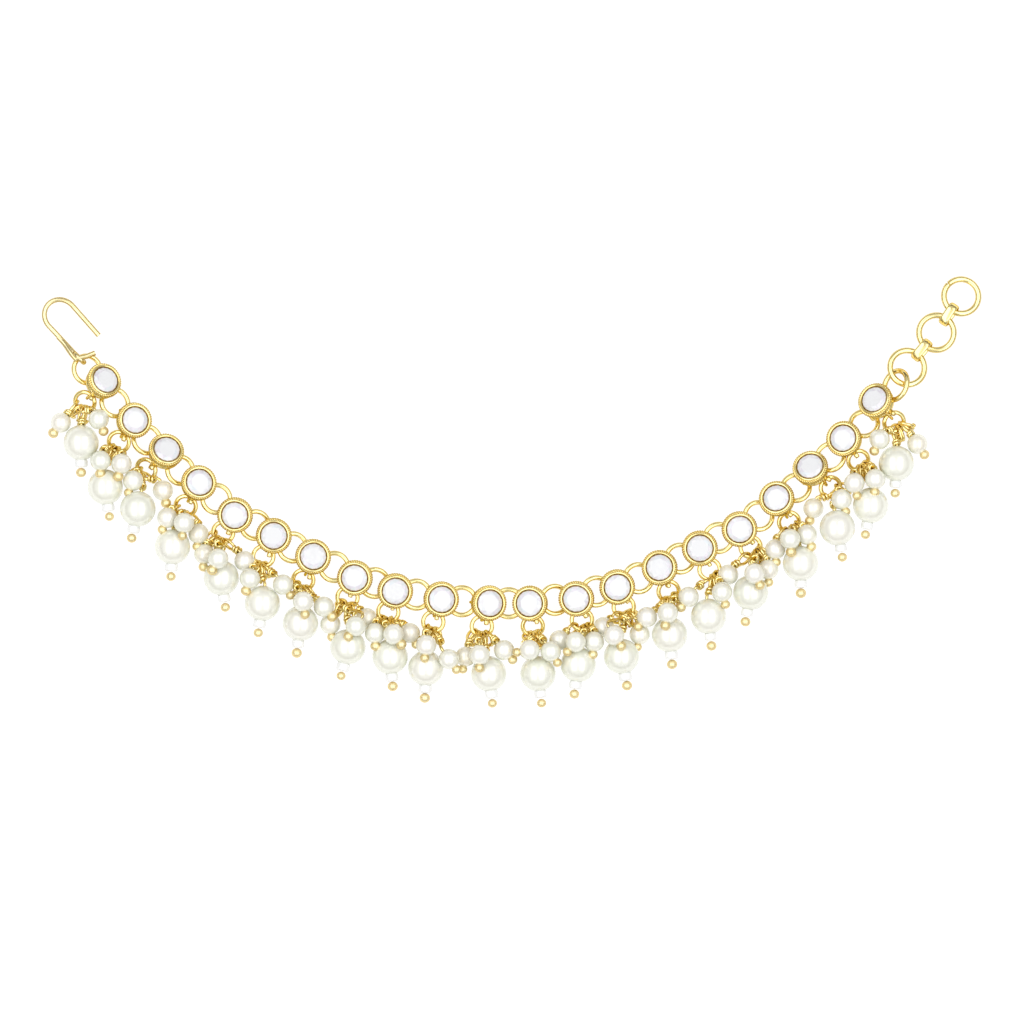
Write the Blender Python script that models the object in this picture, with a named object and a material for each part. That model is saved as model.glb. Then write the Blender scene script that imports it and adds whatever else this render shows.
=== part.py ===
"""Festoon chain of an earring, laid flat: a hook, 21 set stones on round link rings,
a cluster of pearls on a small ring under each stone, and three rings at the far end.

Metres, +Z up. X runs along the length and +Y towards the hook's and the end rings' side.
Every piece lies on the plane z = 0.
"""

import math

import bmesh
import bpy
from mathutils import Matrix, Vector

MM = 0.001
DEG = math.radians(1)
UP = Vector((0, 0, 1))

# Settings: a tapered cup on a small back plate, holding a round stone
RIM_RADIUS = 2.72 * MM
PLATE_RADIUS = 1.5 * MM
CUP_HEIGHT = 1.95 * MM
RIM_BAND = 0.5 * MM
STONE_RADIUS = 2.1 * MM
TABLE_SHARE = 0.6
CROWN_HEIGHT = 0.45 * MM
SETTING_SIDES = 10

# Wires and rings
LINK_RING_DIAMETER = 4.18 * MM
LINK_WIRE = 0.62 * MM
DROP_RING_DIAMETER = 3.08 * MM
DROP_WIRE = 0.55 * MM
END_RING_DIAMETER = 5.26 * MM
END_WIRE = 0.8 * MM
END_LINK_WIDTH = 2.2 * MM
END_LINK_STRETCH = 1.45 * MM
STRAP = 0.4 * MM
PLAY = 0.2 * MM
DROP_REACH = 2.0 * MM
RING_SIDES = 10
WIRE_SIDES = 5

# Pearls
LARGE_PEARL = 5.4 * MM
SMALL_PEARL = 3.1 * MM
LARGE_STEM = 2.7 * MM
SMALL_STEM = 1.2 * MM
PIN = 0.4 * MM
TIP_LENGTH = 2.3 * MM
TIP_WIDTH = 1.7 * MM
TIP_END_WIDTH = 1.2 * MM
PEARL_GAP = 0.12 * MM
PEARL_SIDES = 10
EASE_ROUNDS = 120

# Hook
HOOK_WIRE = 0.65 * MM
HOOK_BEND_RADIUS = 2.36 * MM
HOOK_FREE_LEG = 5.6 * MM
HOOK_LEG = 6.3 * MM
HOOK_EYE_RADIUS = LINK_WIRE / 2 + 1.5 * PLAY + HOOK_WIRE / 2
HOOK_BEND_STEPS = 9
HOOK_TAIL = 1.9 * MM
HOOK_RING_OFFSET = 0.9 * MM

# The chain's route, first half, one stone a line: place of the stone in millimetres,
# how far its face leans and the heading that it leans to, and the drop's swing off square.
CHAIN_ROUTE = (
    # x, y, lean, towards, swing
    (-61.4, 17.2, 31, 37, 12),
    (-56.9, 11.1, 18, 20, 18),
    (-52.1, 6.7, 27, 62, -10),
    (-47.2, 1.7, 16, 45, 16),
    (-41.9, -3.3, 7, 225, 0),
    (-36.0, -6.4, 0, 90, 0),
    (-30.0, -9.5, 9, 50, 6),
    (-23.8, -12.8, 8, 225, 0),
    (-17.6, -14.8, 8, 315, 0),
    (-10.6, -16.0, 10, 0, -6),
    (-3.3, -16.6, 17, 0, -4),
    (2.6, -16.6, 12, 180, -4),
)
HOOK_RING_HEADING = 124
HOOK_HEADING = 137
HOOK_TURN = 188
HOOK_TAIL_HEADING = 12
END_LINK_LEAN = 12
# The second half is the first nine stones and drops mirrored, turned a little and shifted.
MIRRORED = 9
MIRROR_TURN = -2.3
MIRROR_SHIFT = Vector((-7.33, -0.46, 0)) * MM
TAIL_RING_REACH = 3.52 * MM
TAIL_RING_ROLL = -45
END_RING_PLACES = ((59.78, 19.04), (64.2, 24.33), (67.97, 29.82))

# The pearls of each drop: size, heading and reach from the knot, height, heading of its tip.
# Reach is a share of stem and radius together, height a share of the radius.
PEARLS = (
    (("large", -84, 1.0, 1, -90), ("small", -139, 1.25, 1.4, -126),
     ("small", -28, 1.25, 2.2, -68)),
    (("large", -100, 0.95, 1, -82), ("small", -144, 1.0, 2.4, -90),
     ("small", -78, 1.15, 2.6, -104)),
    (("large", -92, 0.9, 1.6, -102), ("small", -34, 1.6, 1.2, -76),
     ("small", -130, 0.9, 2.4, -110)),
    (("large", -103, 0.91, 1, -93), ("small", -163, 0.7, 2.2, -113),
     ("small", -75, 0.45, 3.2, -96), ("small", -56, 1.42, 1.6, -95)),
    (("large", -81, 1.0, 1, -82), ("small", -134, 1.0, 1.6, -94),
     ("small", -84, 1.1, 3.6, -118), ("small", -47, 1.8, 1.4, -66)),
    (("large", -83, 1.05, 1, -98), ("small", -122, 0.85, 2.6, -108),
     ("small", -42, 1.7, 2.4, -55)),
    (("large", -88, 0.95, 1, -97), ("small", -72, 0.7, 3.6, -81),
     ("small", -38, 1.7, 2.2, -49), ("small", -48, 2.6, 1.4, -82)),
    (("large", -84, 1.1, 1, -103), ("small", -59, 1.3, 3.4, -126),
     ("small", -28, 1.5, 1.4, -60)),
    (("large", -83, 0.97, 1, -85), ("small", -136, 0.8, 2.4, -87),
     ("small", -62, 0.8, 3.4, -52), ("small", -25, 1.45, 1.6, -60)),
    (("large", -96, 1.0, 1, -92), ("small", -108, 0.8, 3.4, -97),
     ("small", -60, 1.8, 2.8, -54)),
    (("large", -77, 1.0, 1, -83), ("small", -124, 1.45, 2.0, -103),
     ("small", -92, 1.05, 3.6, -90), ("small", -42, 1.5, 2.2, -48)),
    (("large", -82, 1.06, 1, -83), ("small", -98, 0.77, 3.4, -170),
     ("small", -42, 1.25, 3.2, -59)),
)

GOLD = (0.83, 0.60, 0.22, 1)
PALE_GOLD = (0.80, 0.66, 0.40, 1)
PEARL = (0.86, 0.84, 0.78, 1)


def clear_objects():
    for thing in list(bpy.data.objects):
        bpy.data.objects.remove(thing, do_unlink=True)


def finish_material(name, colour, metallic, roughness):
    material = bpy.data.materials.new(name)
    material.use_nodes = True
    shader = material.node_tree.nodes["Principled BSDF"]
    shader.inputs["Base Color"].default_value = colour
    shader.inputs["Metallic"].default_value = metallic
    shader.inputs["Roughness"].default_value = roughness
    return material


def heading(degrees):
    return Vector((math.cos(degrees * DEG), math.sin(degrees * DEG), 0))


def mesh_from_rings(rings, closed):
    """Skin through rings of points, each with the same number of points."""
    skin = bmesh.new()
    rows = [[skin.verts.new(point) for point in ring] for ring in rings]
    following = rows[1:] + rows[:1] if closed else rows[1:]
    for row, above in zip(rows, following):
        for i in range(len(row)):
            j = (i + 1) % len(row)
            skin.faces.new((row[i], row[j], above[j], above[i]))
    if not closed:
        skin.faces.new(rows[0][::-1])
        skin.faces.new(rows[-1])
    bmesh.ops.recalc_face_normals(skin, faces=skin.faces)
    return skin


def turned(place, profile, sides):
    """A solid of revolution; the profile is radius and height, from bottom to top."""
    rings = []
    for radius, height in profile:
        turns = [math.tau * (i + 0.5) / sides for i in range(sides)]
        rings.append(
            [place @ Vector((radius * math.cos(t), radius * math.sin(t), height)) for t in turns]
        )
    return mesh_from_rings(rings, closed=False)


def wire(points, width, sides=WIRE_SIDES, side_way=UP):
    """A bent wire with mitred corners and flat ends."""
    ahead = (points[1] - points[0]).normalized()
    across = ahead.cross(side_way).normalized()
    over = across.cross(ahead)
    rings = []
    for i, point in enumerate(points):
        after = (points[i + 1] - point).normalized() if i + 1 < len(points) else ahead
        mitre = (ahead + after).normalized()
        ring = []
        for k in range(sides):
            turn = math.tau * (k + 0.5) / sides
            off = (across * math.cos(turn) + over * math.sin(turn)) * width / 2
            off -= ahead * (off.dot(mitre) / ahead.dot(mitre))
            ring.append(point + off)
        rings.append(ring)
        bend = ahead.rotation_difference(after)
        across = bend @ across
        over = bend @ over
        ahead = after
    return mesh_from_rings(rings, closed=False)


def round_link(centre, along, across, diameter, width, stretch=0.0):
    """A ring of wire, or with a stretch an oval one, in the plane of along and across."""
    normal = along.cross(across).normalized()
    rings = []
    for i in range(RING_SIDES):
        turn = math.tau * (i + (0.5 if stretch else 0)) / RING_SIDES
        outward = along * math.cos(turn) + across * math.sin(turn)
        middle = centre + outward * diameter / 2
        middle += along * math.copysign(stretch / 2, math.cos(turn))
        ring = []
        for k in range(WIRE_SIDES):
            around = math.tau * k / WIRE_SIDES
            ring.append(
                middle + (outward * math.cos(around) + normal * math.sin(around)) * width / 2
            )
        rings.append(ring)
    return mesh_from_rings(rings, closed=True)


def aimed(centre, direction):
    """A place whose +Z points along the direction."""
    turn = UP.rotation_difference(direction).to_matrix().to_4x4()
    return Matrix.Translation(centre) @ turn


def ball(centre, axis, diameter, sides, bands):
    shape = bmesh.new()
    bmesh.ops.create_uvsphere(shape, u_segments=sides, v_segments=bands, radius=diameter / 2)
    shape.transform(aimed(centre, axis))
    return shape


def fuse(name, shapes, material):
    """Make one closed body of the overlapping shapes and name it."""
    things = []
    for shape in shapes:
        mesh = bpy.data.meshes.new(name)
        shape.to_mesh(mesh)
        shape.free()
        thing = bpy.data.objects.new(name + "_shape", mesh)
        bpy.context.scene.collection.objects.link(thing)
        things.append(thing)
    body = things[0]
    if things[1:]:
        others = bpy.data.collections.new(name + "_shapes")
        for thing in things[1:]:
            others.objects.link(thing)
        union = body.modifiers.new("union", "BOOLEAN")
        union.operation = "UNION"
        union.operand_type = "COLLECTION"
        union.collection = others
        union.solver = "EXACT"
        depsgraph = bpy.context.evaluated_depsgraph_get()
        body_mesh = bpy.data.meshes.new_from_object(body.evaluated_get(depsgraph))
    else:
        body_mesh = body.data.copy()
    for thing in things:
        bpy.data.objects.remove(thing, do_unlink=True)
    body = bpy.data.objects.new(name, body_mesh)
    body_mesh.materials.clear()
    body_mesh.materials.append(material)
    body_mesh.shade_smooth()
    body_mesh.set_sharp_from_angle(angle=30 * DEG)
    bpy.context.scene.collection.objects.link(body)
    return body


def mirrored_place(place):
    flipped = Vector((-place.x, place.y, place.z))
    return Matrix.Rotation(MIRROR_TURN * DEG, 3, "Z") @ flipped + MIRROR_SHIFT


def mirrored_heading(degrees):
    return 180 - degrees + MIRROR_TURN


def settings_in_order():
    """Place, lean, heading of the lean and swing of the drop for all the stones."""
    rows = []
    for x, y, lean, towards, swing in CHAIN_ROUTE:
        rows.append((Vector((x, y, 0)) * MM, lean, towards, swing))
    for place, lean, towards, swing in rows[:MIRRORED][::-1]:
        rows.append((mirrored_place(place), lean, mirrored_heading(towards), -swing))
    return rows


def drops_in_order():
    rows = list(PEARLS)
    for row in PEARLS[:MIRRORED][::-1]:
        rows.append(
            tuple(
                (size, mirrored_heading(to), reach, height, mirrored_heading(tip))
                for size, to, reach, height, tip in row
            )
        )
    return rows


STRAP_LEVEL = -(LINK_WIRE + 2 * PLAY + STRAP / 2)
WIRE_LEVEL = -(LINK_WIRE / 2 + PLAY)
SEEN_HEIGHT = CUP_HEIGHT + RIM_BAND
LINK_HALF = LINK_WIRE / 2 + PLAY + STRAP / 2
DROP_HALF = DROP_WIRE / 2 + PLAY + STRAP / 2
CHAIN_WAY = Vector((1, 0, 0))


class Seat:
    """One setting's frame: along the chain, across it, out of its face, from its back plate."""

    def __init__(self, seen, along, lean, towards, swing):
        self.out = heading(towards) * math.sin(lean * DEG) + UP * math.cos(lean * DEG)
        self.across = self.out.cross(along).normalized()
        self.along = self.across.cross(self.out).normalized()
        self.drop_way = heading(swing - 90)
        self.back = seen - self.out * SEEN_HEIGHT
        self.link_spot = CHAIN_WAY * -(LINK_RING_DIAMETER / 3)
        self.settle()

    def place(self, local):
        return self.back + self.along * local[0] + self.across * local[1] + self.out * local[2]

    def local(self, point):
        off = point - self.back
        return Vector((off.dot(self.along), off.dot(self.across), off.dot(self.out)))

    def settle(self):
        """Lower the setting until its straps or its rim meet the floor."""
        strap_base = UP * (STRAP_LEVEL - STRAP / 2)
        lows = []
        for spot, way, half in (
            (self.link_spot, CHAIN_WAY, LINK_HALF),
            (self.drop_way * DROP_REACH, self.drop_way, DROP_HALF),
        ):
            for end in (-1, 1):
                for side in (-1, 1):
                    corner = way * end * (half + STRAP / 2) + way.cross(UP) * side * STRAP / 2
                    lows.append(spot + corner + strap_base)
        for k in range(SETTING_SIDES):
            lows.append(heading(360 * (k + 0.5) / SETTING_SIDES) * RIM_RADIUS + UP * SEEN_HEIGHT)
        self.back.z -= min(self.place(low).z for low in lows)

    def matrix(self):
        turn = Matrix((self.along, self.across, self.out)).transposed().to_4x4()
        return Matrix.Translation(self.back) @ turn


def cup_and_stone(seat):
    profile = (
        (PLATE_RADIUS, 0),
        (RIM_RADIUS, CUP_HEIGHT + RIM_BAND),
        (STONE_RADIUS, CUP_HEIGHT + RIM_BAND),
        (STONE_RADIUS * TABLE_SHARE, CUP_HEIGHT + RIM_BAND + CROWN_HEIGHT),
    )
    return turned(seat.matrix(), profile, SETTING_SIDES)


def strap_top(foot):
    """Where a strap's leg meets the back plate or the cup's flank."""
    radius = foot.length
    if radius < PLATE_RADIUS - STRAP / 2:
        return foot + UP * STRAP
    seat_radius = min(radius, RIM_RADIUS * 0.8)
    rise = (seat_radius - PLATE_RADIUS) / (RIM_RADIUS - PLATE_RADIUS) * SEEN_HEIGHT
    return foot * (seat_radius / radius) + UP * (max(rise, 0) + STRAP * 1.4)


def strap(seat, middle, way, half):
    """A flat staple soldered behind the cup, round a wire that crosses it."""
    near = middle - way * half
    far = middle + way * half
    corners = [strap_top(near), near + UP * STRAP_LEVEL, far + UP * STRAP_LEVEL, strap_top(far)]
    points = [seat.place(corner) for corner in corners]
    side_way = seat.matrix().to_3x3() @ way.cross(UP)
    return wire(points, STRAP * math.sqrt(2), sides=4, side_way=side_way)


class Ring:
    """A link ring between two anchor points, leaning as far as the floor lets it."""

    def __init__(self, near, far, roll):
        self.along = (far - near).normalized()
        self.centre = (near + far) / 2
        level = UP.cross(self.along).normalized()
        over = self.along.cross(level)
        room = max(self.centre.z - LINK_WIRE * 0.55, 0) / (LINK_RING_DIAMETER / 2)
        most = math.asin(min(room, 1)) if abs(roll) < 40 * DEG else abs(roll)
        roll = max(-most, min(most, roll))
        self.across = level * math.cos(roll) + over * math.sin(roll)

    def end(self):
        return self.centre + self.along * LINK_RING_DIAMETER / 2

    def shape(self):
        return round_link(self.centre, self.along, self.across, LINK_RING_DIAMETER, LINK_WIRE)


def roll_of(seat):
    """How far the seat's across axis leans from level."""
    return math.asin(seat.across.z)


def make_seats():
    rows = settings_in_order()
    seats = []
    for i, (place, lean, towards, swing) in enumerate(rows):
        before = rows[max(i - 1, 0)][0]
        after = rows[min(i + 1, len(rows) - 1)][0]
        seats.append(Seat(place, (after - before).normalized(), lean, towards, swing))
    return seats


def ring_between(seat, after):
    """A ring soldered under one setting that runs in the next one's staple."""
    start = seat.place((0, 0, WIRE_LEVEL))
    finish = after.place((0, 0, WIRE_LEVEL))
    way = (finish - start).normalized()
    middle = (start + finish) / 2
    near = seat.local(middle - way * LINK_RING_DIAMETER / 2)
    near.z = 0
    if near.length > PLATE_RADIUS:
        near = near.normalized() * PLATE_RADIUS
    near = seat.place(near)
    far = after.local(near + way * LINK_RING_DIAMETER)
    far.z = WIRE_LEVEL
    roll = (roll_of(seat) + roll_of(after)) / 2
    return Ring(near, after.place(far), roll)


def make_link_rings(seats):
    """The rings between the settings, with each setting lowered to the floor round its ring."""
    rings = []
    for _ in range(4):
        rings = [ring_between(seat, after) for seat, after in zip(seats, seats[1:])]
        for ring, after in zip(rings, seats[1:]):
            after.link_spot = after.local(ring.end())
            after.link_spot.z = 0
            after.settle()
    return rings


def touching_push(first, other):
    """How far the first must move to clear the other, over all the spheres of each."""
    worst = Vector()
    for offset, radius in first["spheres"]:
        for other_offset, other_radius in other["spheres"]:
            apart = first["centre"] + offset - other["centre"] - other_offset
            least = radius + other_radius + PEARL_GAP
            if apart.length < least and least - apart.length > worst.length:
                worst = apart.normalized() * (least - apart.length)
    return worst


def ease_apart(pearls, fixed):
    """Push pearls apart until none overlap, keeping each on or above the floor."""
    for _ in range(EASE_ROUNDS):
        for i, first in enumerate(pearls):
            for other in pearls[i + 1:]:
                push = touching_push(first, other)
                share = other["weight"] / (first["weight"] + other["weight"])
                first["centre"] += push * share
                other["centre"] -= push * (1 - share)
            for other in fixed:
                first["centre"] += touching_push(first, other)
            first["centre"].z = max(first["centre"].z, first["radius"])


class Drop:
    """A ring in a setting's staple, and the pearls on the knot at its lower end."""

    def __init__(self, seat, pearls):
        way = seat.drop_way
        self.top = seat.place(way * DROP_REACH + UP * WIRE_LEVEL)
        plan = seat.matrix().to_3x3() @ way
        plan.z = 0
        plan.normalize()
        fall = (self.top.z - DROP_WIRE) / DROP_RING_DIAMETER
        self.along = (plan * math.sqrt(1 - fall * fall) - UP * fall).normalized()
        self.across = UP.cross(plan)
        self.centre = self.top + self.along * DROP_RING_DIAMETER / 2
        self.knot = self.top + self.along * DROP_RING_DIAMETER
        self.pearls = []
        for size, to, reach, height, tip in pearls:
            width, stem = (LARGE_PEARL, LARGE_STEM) if size == "large" else (SMALL_PEARL, SMALL_STEM)
            radius = width / 2
            centre = self.knot + heading(to) * reach * (radius + stem)
            centre.z = radius * height
            spheres = [(Vector(), radius)]
            if size == "large":
                spheres.append((heading(tip) * (radius + TIP_LENGTH / 2), TIP_WIDTH / 2))
            self.pearls.append(
                {"centre": centre, "radius": radius, "spheres": spheres, "tip": heading(tip),
                 "weight": 3 if size == "large" else 1}
            )

    def shapes(self):
        yield round_link(self.centre, self.along, self.across, DROP_RING_DIAMETER, DROP_WIRE)
        for pearl in self.pearls:
            axis = pearl["tip"]
            large = pearl["radius"] > SMALL_PEARL / 2
            yield ball(pearl["centre"], axis, pearl["radius"] * 2, PEARL_SIDES, 5 if large else 4)
            yield wire([self.knot, pearl["centre"]], PIN, sides=3)
            if large:
                start = pearl["radius"] - PIN
                tip = ((TIP_WIDTH / 2, start), (TIP_END_WIDTH / 2, pearl["radius"] + TIP_LENGTH))
                yield turned(aimed(pearl["centre"], axis), tip, 5)


def make_drops(seats):
    drops = [Drop(seat, pearls) for seat, pearls in zip(seats, drops_in_order())]
    fixed = []
    for seat in seats:
        cup = [(Vector(), RIM_RADIUS)]
        fixed.append({"centre": seat.place((0, 0, CUP_HEIGHT)), "spheres": cup})
    for drop in drops:
        fixed.append({"centre": drop.centre, "spheres": [(Vector(), DROP_WIRE)]})
    ease_apart([pearl for drop in drops for pearl in drop.pearls], fixed)
    return drops


class TailRing(Ring):
    """The last setting's ring, tipped up so that the first end ring runs through it."""

    def __init__(self, last):
        along = level_way(last.along)
        start = last.place(along * 0)
        near = last.local(start + along * (TAIL_RING_REACH - LINK_RING_DIAMETER / 2))
        near.z = 0
        near = last.place(near)
        centre = start + along * TAIL_RING_REACH
        lean = math.sin(-TAIL_RING_ROLL * DEG)
        centre.z = (LINK_RING_DIAMETER * lean + LINK_WIRE) / 2 + PLAY / 2
        super().__init__(near, centre * 2 - near, TAIL_RING_ROLL * DEG)


def level_way(direction):
    return Vector((direction.x, direction.y, 0)).normalized()


def make_hook_ring(first):
    """The ring in the first setting's staple, and the height of the hook's eye on it."""
    way = heading(HOOK_RING_HEADING)
    start = first.place((0, 0, WIRE_LEVEL)) + way * HOOK_RING_OFFSET
    far = start + way * LINK_RING_DIAMETER
    far.z = HOOK_EYE_RADIUS + HOOK_WIRE / 2
    ring = Ring(far, start, roll_of(first))
    first.link_spot = first.local(ring.end())
    first.link_spot.z = 0
    first.settle()
    return ring


def hook_shapes(hook_ring):
    """A wire from the eye on its ring, along one leg, round the bend and back."""
    eye = hook_ring.centre * 2 - hook_ring.end()
    leg_way = heading(HOOK_HEADING)
    yield round_link(eye, leg_way, UP, HOOK_EYE_RADIUS * 2, HOOK_WIRE)
    start = eye + leg_way * HOOK_EYE_RADIUS
    bend_start = eye + leg_way * HOOK_LEG
    bend_start.z = HOOK_WIRE / 2
    side = UP.cross(leg_way)
    middle = bend_start - side * HOOK_BEND_RADIUS
    points = [start, start.lerp(bend_start, 0.4)]
    points[1].z = HOOK_WIRE / 2
    for i in range(HOOK_BEND_STEPS + 1):
        turn = HOOK_TURN * DEG * i / HOOK_BEND_STEPS
        off = side * math.cos(turn) + leg_way * math.sin(turn)
        points.append(middle + off * HOOK_BEND_RADIUS)
    last_way = (points[-1] - points[-2]).normalized()
    points.append(points[-1] + last_way * HOOK_FREE_LEG)
    yield wire(points, HOOK_WIRE)
    eye_top = eye + UP * HOOK_EYE_RADIUS
    yield wire([eye_top, eye_top + heading(HOOK_TAIL_HEADING) * HOOK_TAIL], HOOK_WIRE)


def end_pieces(tail_ring):
    """The three end rings and the two oval links between them, standing on edge."""
    places = [Vector((x, y, 0)) * MM for x, y in END_RING_PLACES]
    link_base = END_WIRE / 2
    held = link_base + END_WIRE + PLAY / 2
    starts = [tail_ring.end().z, held, held]
    finishes = [held, held, END_WIRE / 2]
    ways = [(b - a).normalized() for a, b in zip(places, places[1:])]
    ways.append(ways[-1])
    for i, (place, way) in enumerate(zip(places, ways)):
        centre = place + UP * (starts[i] + finishes[i]) / 2
        rise = (finishes[i] - starts[i]) / END_RING_DIAMETER
        along = (way * math.sqrt(1 - rise * rise) + UP * rise).normalized()
        across = UP.cross(way)
        yield f"end_ring_{i + 1}", round_link(centre, along, across, END_RING_DIAMETER, END_WIRE)
    for i, way in enumerate(ways[:2]):
        centre = (places[i] + places[i + 1]) / 2
        centre.z = link_base + END_LINK_WIDTH / 2
        across = UP * math.cos(END_LINK_LEAN * DEG) + UP.cross(way) * math.sin(END_LINK_LEAN * DEG)
        link = round_link(centre, way, across, END_LINK_WIDTH, END_WIRE, END_LINK_STRETCH)
        yield f"end_link_{i + 1}", link


def centre_on_floor():
    """Move the model so that its box stands on z = 0 with its middle at the origin."""
    meshes = [thing.data for thing in bpy.data.objects if thing.type == "MESH"]
    corners = [vertex.co.copy() for mesh in meshes for vertex in mesh.vertices]
    low = Vector([min(corner[k] for corner in corners) for k in range(3)])
    high = Vector([max(corner[k] for corner in corners) for k in range(3)])
    shift = Vector((-(low.x + high.x) / 2, -(low.y + high.y) / 2, -low.z))
    for mesh in meshes:
        mesh.transform(Matrix.Translation(shift))


def main():
    clear_objects()
    gold = (GOLD, 1.0, 0.18)
    seats = make_seats()
    make_hook_ring(seats[0])
    hook_ring = make_hook_ring(seats[0])
    rings = make_link_rings(seats)
    rings.append(TailRing(seats[-1]))
    for i, (seat, ring) in enumerate(zip(seats, rings), start=1):
        name = f"setting_{i:02d}"
        shapes = [
            cup_and_stone(seat),
            ring.shape(),
            strap(seat, seat.link_spot, CHAIN_WAY, LINK_HALF),
            strap(seat, seat.drop_way * DROP_REACH, seat.drop_way, DROP_HALF),
        ]
        fuse(name, shapes, finish_material(name, *gold))
    for i, drop in enumerate(make_drops(seats), start=1):
        name = f"drop_{i:02d}"
        fuse(name, list(drop.shapes()), finish_material(name, PEARL, 0.0, 0.25))
    fuse("hook_ring", [hook_ring.shape()], finish_material("hook_ring", *gold))
    fuse("hook", list(hook_shapes(hook_ring)), finish_material("hook", PALE_GOLD, 1.0, 0.2))
    for name, shape in end_pieces(rings[-1]):
        fuse(name, [shape], finish_material(name, *gold))
    centre_on_floor()


main()
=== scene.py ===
# %% [markdown]
# # A festoon chain for an earring: set stones, link rings and pearl drops
#
# The object is a gilt chain that lies flat. A wire hook is at its left end, then come 21 round
# glass stones in rope-edged settings, joined by link rings, with a cluster of pearls under each
# one. Three heavier rings and two oval links finish the right end.
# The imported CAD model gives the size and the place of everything. Each piece here takes the place
# of a plain CAD body with a finer shape and a real finish.

import math
import random

import bmesh
import bpy
from mathutils import Matrix, Vector


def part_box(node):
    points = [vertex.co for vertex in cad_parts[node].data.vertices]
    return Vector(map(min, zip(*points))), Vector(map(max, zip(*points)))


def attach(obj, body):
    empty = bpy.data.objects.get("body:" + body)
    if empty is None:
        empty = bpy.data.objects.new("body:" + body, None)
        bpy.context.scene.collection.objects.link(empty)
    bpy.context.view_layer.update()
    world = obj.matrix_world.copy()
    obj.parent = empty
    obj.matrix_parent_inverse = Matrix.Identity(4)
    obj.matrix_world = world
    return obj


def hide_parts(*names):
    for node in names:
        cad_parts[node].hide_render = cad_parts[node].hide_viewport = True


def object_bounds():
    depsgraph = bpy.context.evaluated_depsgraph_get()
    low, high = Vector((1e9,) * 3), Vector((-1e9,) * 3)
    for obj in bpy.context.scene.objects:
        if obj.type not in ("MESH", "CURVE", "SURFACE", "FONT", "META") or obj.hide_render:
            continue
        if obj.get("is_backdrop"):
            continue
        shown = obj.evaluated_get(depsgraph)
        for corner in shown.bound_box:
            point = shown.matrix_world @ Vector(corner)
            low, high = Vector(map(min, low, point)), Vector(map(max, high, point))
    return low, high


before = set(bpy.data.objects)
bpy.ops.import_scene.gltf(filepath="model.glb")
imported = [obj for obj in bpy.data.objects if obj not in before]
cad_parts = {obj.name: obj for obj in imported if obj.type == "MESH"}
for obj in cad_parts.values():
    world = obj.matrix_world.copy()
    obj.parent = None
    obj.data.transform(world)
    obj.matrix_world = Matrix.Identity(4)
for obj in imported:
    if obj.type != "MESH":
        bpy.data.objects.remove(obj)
cad_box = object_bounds()
MM = 0.001
DEG = math.radians(1)
UP = Vector((0, 0, 1))
print("nodes", len(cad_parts), "box", [[round(v / MM, 2) for v in c] for c in cad_box])

# %% [markdown]
# ## Sizes of the real pieces
#
# One pixel of the picture is about 0.15 mm, which gives all these sizes. They are the same named
# values as in the CAD source, so the fine pieces land on the plain ones.

# %% Sizes
RIM_RADIUS = 2.72 * MM
PLATE_RADIUS = 1.5 * MM
CUP_HEIGHT = 1.95 * MM
RIM_BAND = 0.5 * MM
SEEN_HEIGHT = CUP_HEIGHT + RIM_BAND
SETTING_SIDES = 10
LINK_RING_DIAMETER = 4.18 * MM
LINK_WIRE = 0.62 * MM
DROP_RING_DIAMETER = 3.08 * MM
DROP_WIRE = 0.55 * MM
END_RING_DIAMETER = 5.26 * MM
END_WIRE = 0.8 * MM
END_LINK_WIDTH = 2.2 * MM
END_LINK_STRETCH = 1.45 * MM
STRAP = 0.4 * MM
PLAY = 0.2 * MM
DROP_REACH = 2.0 * MM
LARGE_PEARL = 5.4 * MM
SMALL_PEARL = 3.1 * MM
LARGE_STEM = 2.7 * MM
SMALL_STEM = 1.2 * MM
PIN = 0.4 * MM
TIP_LENGTH = 2.3 * MM
TIP_WIDTH = 1.7 * MM
PEARL_GAP = 0.12 * MM
EASE_ROUNDS = 120
HOOK_WIRE = 0.65 * MM
HOOK_BEND_RADIUS = 2.36 * MM
HOOK_FREE_LEG = 5.6 * MM
HOOK_LEG = 6.3 * MM
HOOK_EYE_RADIUS = LINK_WIRE / 2 + 1.5 * PLAY + HOOK_WIRE / 2
HOOK_TAIL = 1.9 * MM
HOOK_RING_OFFSET = 0.9 * MM

# %% [markdown]
# ## The route of the chain
#
# A chain that was dropped on a table never lies in a perfect curve, so each stone has its own
# place and leans its own way. The table is short because the right half repeats the left half in
# a mirror, turned a little. Each row of pearls says where a pearl lies, seen from the ring that
# holds it.

# %% Places of stones and pearls
# x, y in millimetres, lean, heading of the lean, swing of the drop
CHAIN_ROUTE = (
    (-61.4, 17.2, 31, 37, 12),
    (-56.9, 11.1, 18, 20, 18),
    (-52.1, 6.7, 27, 62, -10),
    (-47.2, 1.7, 16, 45, 16),
    (-41.9, -3.3, 7, 225, 0),
    (-36.0, -6.4, 0, 90, 0),
    (-30.0, -9.5, 9, 50, 6),
    (-23.8, -12.8, 8, 225, 0),
    (-17.6, -14.8, 8, 315, 0),
    (-10.6, -16.0, 10, 0, -6),
    (-3.3, -16.6, 17, 0, -4),
    (2.6, -16.6, 12, 180, -4),
)
HOOK_RING_HEADING = 124
HOOK_HEADING = 137
HOOK_TURN = 188
HOOK_TAIL_HEADING = 12
END_LINK_LEAN = 12
MIRRORED = 9
MIRROR_TURN = -2.3
MIRROR_SHIFT = Vector((-7.33, -0.46, 0)) * MM
TAIL_RING_REACH = 3.52 * MM
TAIL_RING_ROLL = -45
END_RING_PLACES = ((59.78, 19.04), (64.2, 24.33), (67.97, 29.82))

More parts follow.
